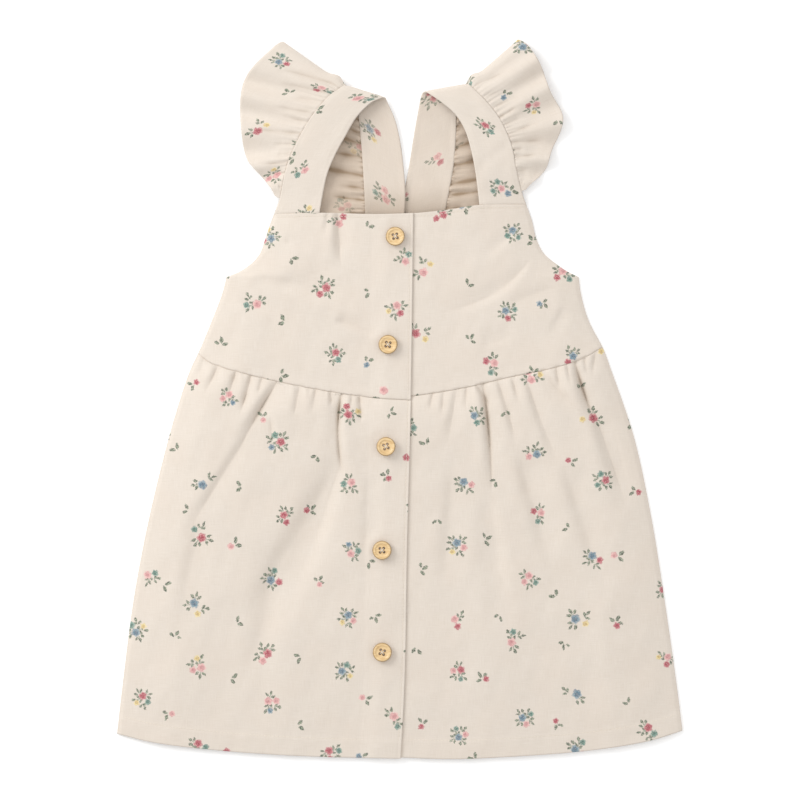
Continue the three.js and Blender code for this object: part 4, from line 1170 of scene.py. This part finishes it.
def linen_material(name):
    """Printed linen: the print over cream cloth, flecked by uneven yarns both ways, with a plain weave in
    its bump and a little sheen."""
    made, n, shader = start_material(name)
    cloth_settings = settings()
    light, dark, wrong_side_shade_tint = (tuple(colour) + (1,) for colour in (
        cloth_settings.cloth_light, cloth_settings.cloth_dark, cloth_settings.wrong_side_and_shade))
    place = n.scale(n.new("ShaderNodeUVMap", uv_map="print").outputs[0], 1.0 / MM)
    warp, weft = (n.noise(n.vector("MULTIPLY", place, stretch), 1.0, 3.0, 0.6)
                  for stretch in ((2.3, 0.10, 0.0), (0.10, 2.3, 0.0)))
    yarns = n.math("ADD", warp, weft)
    cloth = n.blend(n.ramp(yarns, 0.65, 1.35, False), dark, light)
    blotched = n.ramp(n.noise(place, 0.035, 3.0, 0.5), 0.35, 0.7)
    cloth = n.blend(n.math("MULTIPLY", blotched, 0.14), cloth, BLOTCH)
    inked = n.group(print_group(), Place=place, Cloth=cloth)
    inked = n.blend(n.math("MULTIPLY", n.ramp(yarns, 1.0, 1.35), 0.18), inked, cloth)
    # Where the wrong-side attribute is set, the print fades and a tint darkens the cloth: a fainter wrong
    # side, and painted shade.
    wrong = n.attribute("wrong_side_and_shade")
    inked = n.blend(n.math("MULTIPLY", wrong, 0.5), inked, cloth)
    inked = n.blend(wrong, inked, n.blend(1.0, inked, wrong_side_shade_tint, "MULTIPLY"))
    # Painted shade: darker by the crease tint where the crease attribute marks the bottom of a crease.
    inked = n.blend(n.attribute("crease"), inked, n.blend(1.0, inked, CREASE_SHADE_TINT, "MULTIPLY"))
    x, y, _ = n.split(n.scale(place, 2 * math.pi / cloth_settings.thread_pitch))
    weave = n.math("MULTIPLY", n.math("SINE", x), n.math("SINE", y))
    height = n.math("ADD", n.math("MULTIPLY", weave, 0.5), n.math("MULTIPLY", yarns, 1.1))
    n.finish(shader, inked, height, 0.55, cloth_settings.weave_depth * MM, Roughness=0.92, Sheen_Weight=0.12,
             Sheen_Roughness=0.55, Specular_IOR_Level=0.2)
    return made


def thread_material(name):
    """Cream sewing thread, with a fine twist in its bump."""
    made, n, shader = start_material(name)
    place = n.new("ShaderNodeTexCoord").outputs["Object"]
    colour = n.blend(n.noise(place, 900.0), linear(222, 210, 192), linear(240, 232, 218))
    n.finish(shader, colour, n.noise(place, 2600.0), 0.4, 0.05 * MM, Roughness=0.7, Sheen_Weight=0.2)
    return made


def wood_material(name):
    """Pale honey wood with a satin finish: grain as noise stretched along X, finer pores over it, darker at
    the rim, and painted shade round the holes, where the distance from the nearest hole's middle falls to its
    radius."""
    made, n, shader = start_material(name)
    place = n.new("ShaderNodeTexCoord").outputs["Object"]
    grain = n.noise(n.vector("MULTIPLY", place, (140.0, 900.0, 900.0)), 1.0, 4.0, 0.6)
    pores = n.noise(n.vector("MULTIPLY", place, (500.0, 5200.0, 5200.0)), 1.0, 2.0, 0.6)
    tone = n.blend(n.ramp(grain, 0.3, 0.7), linear(214, 178, 124), linear(236, 207, 158))
    tone = n.blend(n.math("MULTIPLY", n.ramp(pores, 0.55, 0.75), 0.35), tone, linear(168, 124, 76))
    x, y, _ = n.split(n.attribute("on_button", "Vector"))
    rim = n.ramp(n.vector("LENGTH", n.join(x, y), output=1), 6.1, 6.8)
    hole_x, hole_y = (n.math("SUBTRACT", n.math("ABSOLUTE", side), HOLE_SPACING / 2) for side in (x, y))
    from_hole = n.vector("LENGTH", n.join(hole_x, hole_y), output=1)
    hole = n.ramp(from_hole, HOLE_RADIUS + 0.6, HOLE_RADIUS)
    tone = n.blend(n.math("MULTIPLY", rim, 0.7), tone, linear(128, 98, 58))
    # Painted shade round each hole, darkest at its edge.
    tone = n.blend(n.math("MULTIPLY", hole, 0.95), tone, linear(100, 60, 28))
    n.finish(shader, tone, pores, 0.3, 0.05 * MM, Roughness=0.42, Coat_Weight=0.15, Coat_Roughness=0.3)
    return made


MADE = {}


def material(name, make):
    """The material of this name, made the first time that it is asked for. It is kept here, because one of
    the frame's own materials may have the same name."""
    if name not in MADE:
        MADE[name] = make(name)
    return MADE[name]


# Buttons

def mesh_of_faces(name, points, quads, ends):
    """A mesh from points in millimetres, quads and the faces that close its ends."""
    faces = [tuple(int(i) for i in quad) for quad in quads] + [tuple(end) for end in ends]
    mesh = bpy.data.meshes.new(name)
    mesh.from_pydata((points * MM).tolist(), [], faces)
    mesh.update()
    return mesh


def lathe_mesh(name, profile, sides):
    """A profile of (radius, height) pairs turned about the vertical, with its two ends closed."""
    turn = np.linspace(0, 2 * math.pi, sides, endpoint=False)
    points = np.stack([
        profile[:, None, 0] * np.cos(turn), profile[:, None, 0] * np.sin(turn),
        np.broadcast_to(profile[:, None, 1], (len(profile), sides)),
    ], axis=-1).reshape(-1, 3)
    ends = range(sides - 1, -1, -1), range(len(points) - sides, len(points))
    return mesh_of_faces(name, points, ring_quads(len(profile), sides), ends)


def tube_mesh(name, lines, radius, sides):
    """Round tubes along lines of points: each ring stands square to the line, and both ends are closed."""
    turn = np.linspace(0, 2 * math.pi, sides, endpoint=False)[:, None]
    points, quads, ends, first = [], [], [], 0
    for line in lines:
        forward = unit(np.gradient(line, axis=0))
        sideways = unit(np.cross(forward, [0.13, 0.31, 0.94]))
        ring = np.cos(turn) * sideways[:, None] + np.sin(turn) * np.cross(forward, sideways)[:, None]
        points.append((line[:, None] + radius * ring).reshape(-1, 3))
        quads.append(first + ring_quads(len(line), sides))
        last = first + (len(line) - 1) * sides
        ends += [range(first + sides - 1, first - 1, -1), range(last, last + sides)]
        first = last + sides
    mesh = mesh_of_faces(name, np.concatenate(points), np.concatenate(quads), ends)
    mesh.polygons.foreach_set("use_smooth", np.ones(len(mesh.polygons), dtype=bool))
    return mesh


def rounded_profile():
    """The button's section: a flat underside, a rounded edge, a flat rim and a dished face. Each rounding is
    a quarter circle, and the dish is an eased step."""
    radius, thick, edge, dish = BUTTON_RADIUS, BUTTON_THICK, BUTTON_EDGE, BUTTON_DISH
    heart, floor = 0.6, thick - dish
    quarter = np.linspace(0, math.pi / 2, 6)
    under = [(radius - edge + edge * math.sin(a), edge - edge * math.cos(a)) for a in quarter]
    over = [(radius - edge + edge * math.cos(a), thick - edge + edge * math.sin(a)) for a in quarter]
    rim = radius - edge - BUTTON_RIM
    bowl = [(rim - 1.3 * share, thick - dish * float(ease(share))) for share in np.linspace(0, 1, 7)]
    middle = [(2.6, floor - 0.06), (heart, floor - 0.08)]
    return np.array([(heart, 0.0)] + under + over + bowl + middle)


def cut_holes(piece):
    """Cuts four round holes through a button by Boolean differences, applied to its mesh."""
    cutters = []
    for sx in (-1, 1):
        for sy in (-1, 1):
            profile = np.array([(HOLE_RADIUS, -2.0), (HOLE_RADIUS, 5.0)])
            cutter = bpy.data.objects.new("hole_cutter", lathe_mesh("hole_cutter", profile, 24))
            cutter.data.transform(Matrix.Translation(Vector((sx, sy, 0)) * (HOLE_SPACING / 2 * MM)))
            bpy.context.scene.collection.objects.link(cutter)
            cut = piece.modifiers.new("hole", "BOOLEAN")
            cut.operation, cut.solver, cut.object = "DIFFERENCE", "EXACT", cutter
            cutters.append(cutter)
    shaped = bpy.data.meshes.new_from_object(piece.evaluated_get(bpy.context.evaluated_depsgraph_get()))
    piece.modifiers.clear()
    piece.data = shaped
    for cutter in cutters:
        bpy.data.objects.remove(cutter)


def mark_places(mesh, x, y, turn):
    """Stores each point's place on its own button for the material: millimetres from the button's middle,
    turned back by the button's turn."""
    co = np.empty(len(mesh.vertices) * 3)
    mesh.vertices.foreach_get("co", co)
    co = co.reshape(-1, 3) / MM
    dx, dy = co[:, 0] - x, co[:, 1] - y
    c, s = math.cos(turn), math.sin(turn)
    place = np.stack([dx * c + dy * s, dy * c - dx * s, co[:, 2] - co[:, 2].max()], axis=-1)
    layer = mesh.attributes.new("on_button", "FLOAT_VECTOR", "POINT")
    layer.data.foreach_set("vector", place.astype(np.float32).ravel())


# What a user would change

class SundressSettings(bpy.types.PropertyGroup):
    """Sizes and colours of the cloth and its stitches."""

    cloth_light: FloatVectorProperty(
        name="Cloth, light yarns", description="Colour of the cream cloth's lighter yarns", subtype="COLOR",
        size=3, min=0.0, max=1.0, default=linear(226, 216, 205)[:3])
    cloth_dark: FloatVectorProperty(
        name="Cloth, dark yarns", description="Colour of the cream cloth's darker yarns", subtype="COLOR",
        size=3, min=0.0, max=1.0, default=linear(215, 204, 191)[:3])
    # This tint is painted shade as well as the darker wrong side.
    wrong_side_and_shade: FloatVectorProperty(
        name="Wrong side", description="Tint of the cloth's darker wrong side", subtype="COLOR",
        size=3, min=0.0, max=1.0, default=(0.86, 0.80, 0.74))
    thread_pitch: FloatProperty(
        name="Thread pitch", description="Distance over which the weave repeats, in millimetres",
        default=0.9, min=0.2, max=3.0)
    weave_depth: FloatProperty(
        name="Weave depth", description="Height of the yarns' bump, in millimetres", default=0.10, min=0.0,
        max=1.0)
    stitch_pitch: FloatProperty(
        name="Stitch pitch", description="Distance from one stitch to the next, in millimetres", default=2.8,
        min=1.0, max=8.0)


# The camera's sensor in millimetres, and in metres how far the camera is moved towards the hem and the height
# of the cloth at which the frame's width is measured.
SENSOR = 36.0
CAMERA_SHIFT, DRESS_MIDDLE = -0.0004, 0.006


class StageSettings(bpy.types.PropertyGroup):
    """The camera and the lights."""

    frame_width: FloatProperty(
        name="Frame width", description="Width of the view at the dress", default=0.6, unit="LENGTH")
    camera_height: FloatProperty(
        name="Camera height", description="Height of the camera over the table", default=3.2, unit="LENGTH")
    key_power: FloatProperty(
        name="Key light", description="Power of the main soft light, in watts", default=24.0, min=0.0)
    fill_power: FloatProperty(
        name="Fill light", description="Power of the overhead fill light, in watts", default=12.0, min=0.0)
    table_glow: FloatProperty(
        name="Table glow", description="Light given off by the white table, which thins the shadows on it",
        default=0.12, min=0.0)
    sky: FloatProperty(
        name="Surround", description="Strength of the white surround", default=0.74, min=0.0)


def settings():
    """The cloth settings of the current scene."""
    return bpy.context.scene.sundress


class DRESS_OT_stage(bpy.types.Operator):
    """Makes the pale floor, the soft lights and the camera that looks straight down."""

    bl_idname = "dress.stage"
    bl_label = "Stage"

    def execute(self, context):
        stage = context.scene.dress_stage
        floor = bpy.data.meshes.new("floor")
        floor.from_pydata([(-4, -4, 0), (4, -4, 0), (4, 4, 0), (-4, 4, 0)], [], [(0, 1, 2, 3)])
        floor_piece = bpy.data.objects.new("floor", floor)
        context.scene.collection.objects.link(floor_piece)
        paper, n, shader = start_material("floor")
        n.set(shader, {
            "Base Color": (0.96, 0.96, 0.96, 1), "Roughness": 0.9, "Specular IOR Level": 0.1,
            "Emission Color": (1.0, 1.0, 1.0, 1), "Emission Strength": stage.table_glow,
        })
        floor.materials.append(paper)

        camera = bpy.data.objects.new("camera", bpy.data.cameras.new("camera"))
        context.scene.collection.objects.link(camera)
        camera.location = (0.0, CAMERA_SHIFT, stage.camera_height)
        camera.data.sensor_width = SENSOR
        camera.data.lens = SENSOR * (stage.camera_height - DRESS_MIDDLE) / stage.frame_width
        camera.data.clip_end = 20.0
        context.scene.camera = camera

        world = bpy.data.worlds.new("surround")
        world.use_nodes = True
        world.node_tree.nodes["Background"].inputs["Color"].default_value = (1.0, 1.0, 1.0, 1)
        world.node_tree.nodes["Background"].inputs["Strength"].default_value = stage.sky
        context.scene.world = world
        context.scene.view_settings.view_transform = "Standard"

        for name, power, size, place in (
            ("key_light", stage.key_power, 1.1, (-1.5, 1.0, 1.15)),
            ("fill_light", stage.fill_power, 2.4, (0.5, 0.2, 2.4)),
        ):
            lamp = bpy.data.lights.new(name, "AREA")
            lamp.shape = "SQUARE"
            lamp.size = size
            lamp.energy = power
            light = bpy.data.objects.new(name, lamp)
            light.location = place
            light.rotation_euler = (-Vector(place)).to_track_quat("-Z", "Y").to_euler()
            context.scene.collection.objects.link(light)
        return {"FINISHED"}


class DRESS_OT_skirt(bpy.types.Operator):
    """Makes the gathered skirt: two front panels that lap at the opening, and the back panel."""

    bl_idname = "dress.skirt"
    bl_label = "Skirt"

    def execute(self, context):
        for node, low, high, is_left, print_shift in (
            ("skirt_front_left", HEM_LEFT, WAIST_LEFT, True, (3.0, 8.0)),
            ("skirt_front_right", HEM_RIGHT, WAIST_RIGHT, False, (70.0, 21.0)),
        ):
            mesh = front_panel(node + "_cloth", low, high, is_left, True, 368, 130, print_shift)
            add_cloth(node, mesh)
        mesh = back_panel("skirt_back_cloth", across_curve(HEM_BACK), lambda x: waist(x) - SEAM_GAP / 2,
                          HEM_BACK["y"][[0, -1]], SIDE_WAIST - SEAM_GAP / 2, 400, 110)
        add_cloth("skirt_back", mesh)
        return {"FINISHED"}


class DRESS_OT_bodice(bpy.types.Operator):
    """Makes the bodice: two front panels that lap at the opening, and the back panel."""

    bl_idname = "dress.bodice"
    bl_label = "Bodice"

    def execute(self, context):
        for node, low, high, is_left, print_shift in (
            ("bodice_front_left", WAIST_LEFT, NECK_LEFT, True, (130.0, 55.0)),
            ("bodice_front_right", WAIST_RIGHT, NECK_RIGHT, False, (202.0, 12.0)),
        ):
            mesh = front_panel(node + "_cloth", low, high, is_left, False, 200, 130, print_shift)
            add_cloth(node, mesh)
        mesh = back_panel("bodice_back_cloth", lambda x: waist(x) + SEAM_GAP / 2,
                          lambda x: np.full(np.shape(x), BACK_TOP), SIDE_WAIST + SEAM_GAP / 2,
                          (BACK_TOP, BACK_TOP), 160, 70)
        add_cloth("bodice_back", mesh)
        return {"FINISHED"}


class DRESS_OT_straps(bpy.types.Operator):
    """Makes the two shoulder straps, folded over at the top."""

    bl_idname = "dress.straps"
    bl_label = "Straps"

    def execute(self, context):
        for node, stations, is_left in (
            ("strap_left", LEFT_STATIONS, True), ("strap_right", RIGHT_STATIONS, False),
        ):
            mesh = strap(node + "_cloth", stations, is_left)
            add_cloth(node, mesh)
        return {"FINISHED"}


class DRESS_OT_ruffles(bpy.types.Operator):
    """Makes the two gathered ruffles on the straps' outer edges."""

    bl_idname = "dress.ruffles"
    bl_label = "Ruffles"

    def execute(self, context):
        for node, stations, is_left, creases in (
            ("ruffle_left", LEFT_STATIONS, True, LEFT_GATHERS),
            ("ruffle_right", RIGHT_STATIONS, False, RIGHT_GATHERS),
        ):
            mesh = ruffle(node + "_cloth", stations, is_left, creases)
            add_cloth(node, mesh)
        return {"FINISHED"}


def crossed_thread(x, y, z, turn):
    """The two lines of thread that cross on a button at x, y, from hole to hole: level just above its face at
    z, the second one arched over the first, with their ends down in the holes."""
    run = np.linspace(-1, 1, 15)
    reach = HOLE_SPACING / 2 * run
    lines = []
    for side, arch in ((1, 0.0), (-1, 0.22)):
        px, py = reach, reach * side
        pz = np.where(np.abs(run) > 0.85, -1.0, 0.18 + arch * (1 - run ** 2))
        lines.append(np.stack([x + px * math.cos(turn) - py * math.sin(turn),
                               y + px * math.sin(turn) + py * math.cos(turn), z + pz], axis=-1))
    return lines


class DRESS_OT_buttons(bpy.types.Operator):
    """Makes the five wooden buttons with four holes each, and the crossed thread that holds them."""

    bl_idname = "dress.buttons"
    bl_label = "Buttons"

    def execute(self, context):
        threads = []
        for i, (x, y, degrees) in enumerate(zip(*BUTTONS.values()), start=1):
            node = f"button_{i}"
            low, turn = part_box(node)[0][2], math.radians(degrees)
            piece = link(node + "_turned", lathe_mesh(node + "_turned", rounded_profile(), 64))
            cut_holes(piece)
            placed = Matrix.Translation(Vector((x * MM, y * MM, low)))
            piece.data.transform(placed @ Matrix.Rotation(turn, 4, Vector((0, 0, 1))))
            mark_places(piece.data, x, y, turn)
            piece.data.polygons.foreach_set("use_smooth", np.ones(len(piece.data.polygons), dtype=bool))
            piece.data.set_sharp_from_angle(angle=math.radians(40))
            piece.data.materials.append(material("button_wood", wood_material))
            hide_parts(node)
            threads += crossed_thread(x, y, low / MM + THREAD_SEAT, turn)
        piece = link("button_thread", tube_mesh("button_thread", threads, 0.24, 8))
        piece.data.materials.append(material("sewing_thread", thread_material))
        return {"FINISHED"}


def seam_line(x, y, height, lift):
    """A line of stitches on the front's outer face, kept clear of the side seams."""
    inside = from_sides(x, y) > 1
    x, y = x[inside], y[inside]
    return np.stack([x, y, height(x, y) + CLOTH + lift], axis=-1)


class DRESS_OT_stitching(bpy.types.Operator):
    """Sews the visible stitch lines: the hem, the neckline and the opening's edge."""

    bl_idname = "dress.stitching"
    bl_label = "Stitching"

    def execute(self, context):
        lines = []
        for edge, start, end, count, above, height, lift in (
            (HEM_LEFT, -209.0, -2.0, 400, HEM_STITCH, lap_height, 0.16),
            (HEM_RIGHT, 6.0, 209.0, 400, HEM_STITCH, front_height, 0.16),
            (NECK_LEFT, -93.0, 7.5, 300, -NECK_THREAD, lap_height, 0.02),
            (NECK_RIGHT, 12.0, 93.0, 300, -NECK_THREAD, front_height, 0.02),
        ):
            x = np.linspace(start, end, count)
            lines.append(seam_line(x, across_curve(edge)(x) + above, height, lift))
        y = np.linspace(-266.0, 136.0, 900)
        lines.append(seam_line(opening_x(y) - EDGE_STITCH, y, lap_height, 0.18))
        piece = link("stitching", stitches("stitching", lines, settings().stitch_pitch))
        piece.data.materials.append(material("sewing_thread", thread_material))
        return {"FINISHED"}


class DRESS_PT_panel(bpy.types.Panel):
    """Lists the dress's settings and steps in the sidebar."""

    bl_idname = "DRESS_PT_panel"
    bl_label = "Sundress"
    bl_space_type = "VIEW_3D"
    bl_region_type = "UI"
    bl_category = "Sundress"

    def draw(self, context):
        for group in (context.scene.sundress, context.scene.dress_stage):
            for name in group.__annotations__:
                self.layout.prop(group, name)
        for step in STEPS:
            self.layout.operator(step.bl_idname)


STEPS = (DRESS_OT_stage, DRESS_OT_skirt, DRESS_OT_bodice, DRESS_OT_straps, DRESS_OT_ruffles,
         DRESS_OT_buttons, DRESS_OT_stitching)
CLASSES = (SundressSettings, StageSettings) + STEPS + (DRESS_PT_panel,)


def register():
    """Registers the classes and the scene's settings."""
    for cls in CLASSES:
        bpy.utils.register_class(cls)
    bpy.types.Scene.sundress = PointerProperty(type=SundressSettings)
    bpy.types.Scene.dress_stage = PointerProperty(type=StageSettings)


def unregister():
    """Takes the settings and the classes away again."""
    del bpy.types.Scene.dress_stage
    del bpy.types.Scene.sundress
    for cls in reversed(CLASSES):
        bpy.utils.unregister_class(cls)


def main():
    """Registers the add-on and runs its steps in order."""
    register()
    for step in STEPS:
        group, name = step.bl_idname.split(".")
        getattr(getattr(bpy.ops, group), name)()


if __name__ == "__main__":
    main()
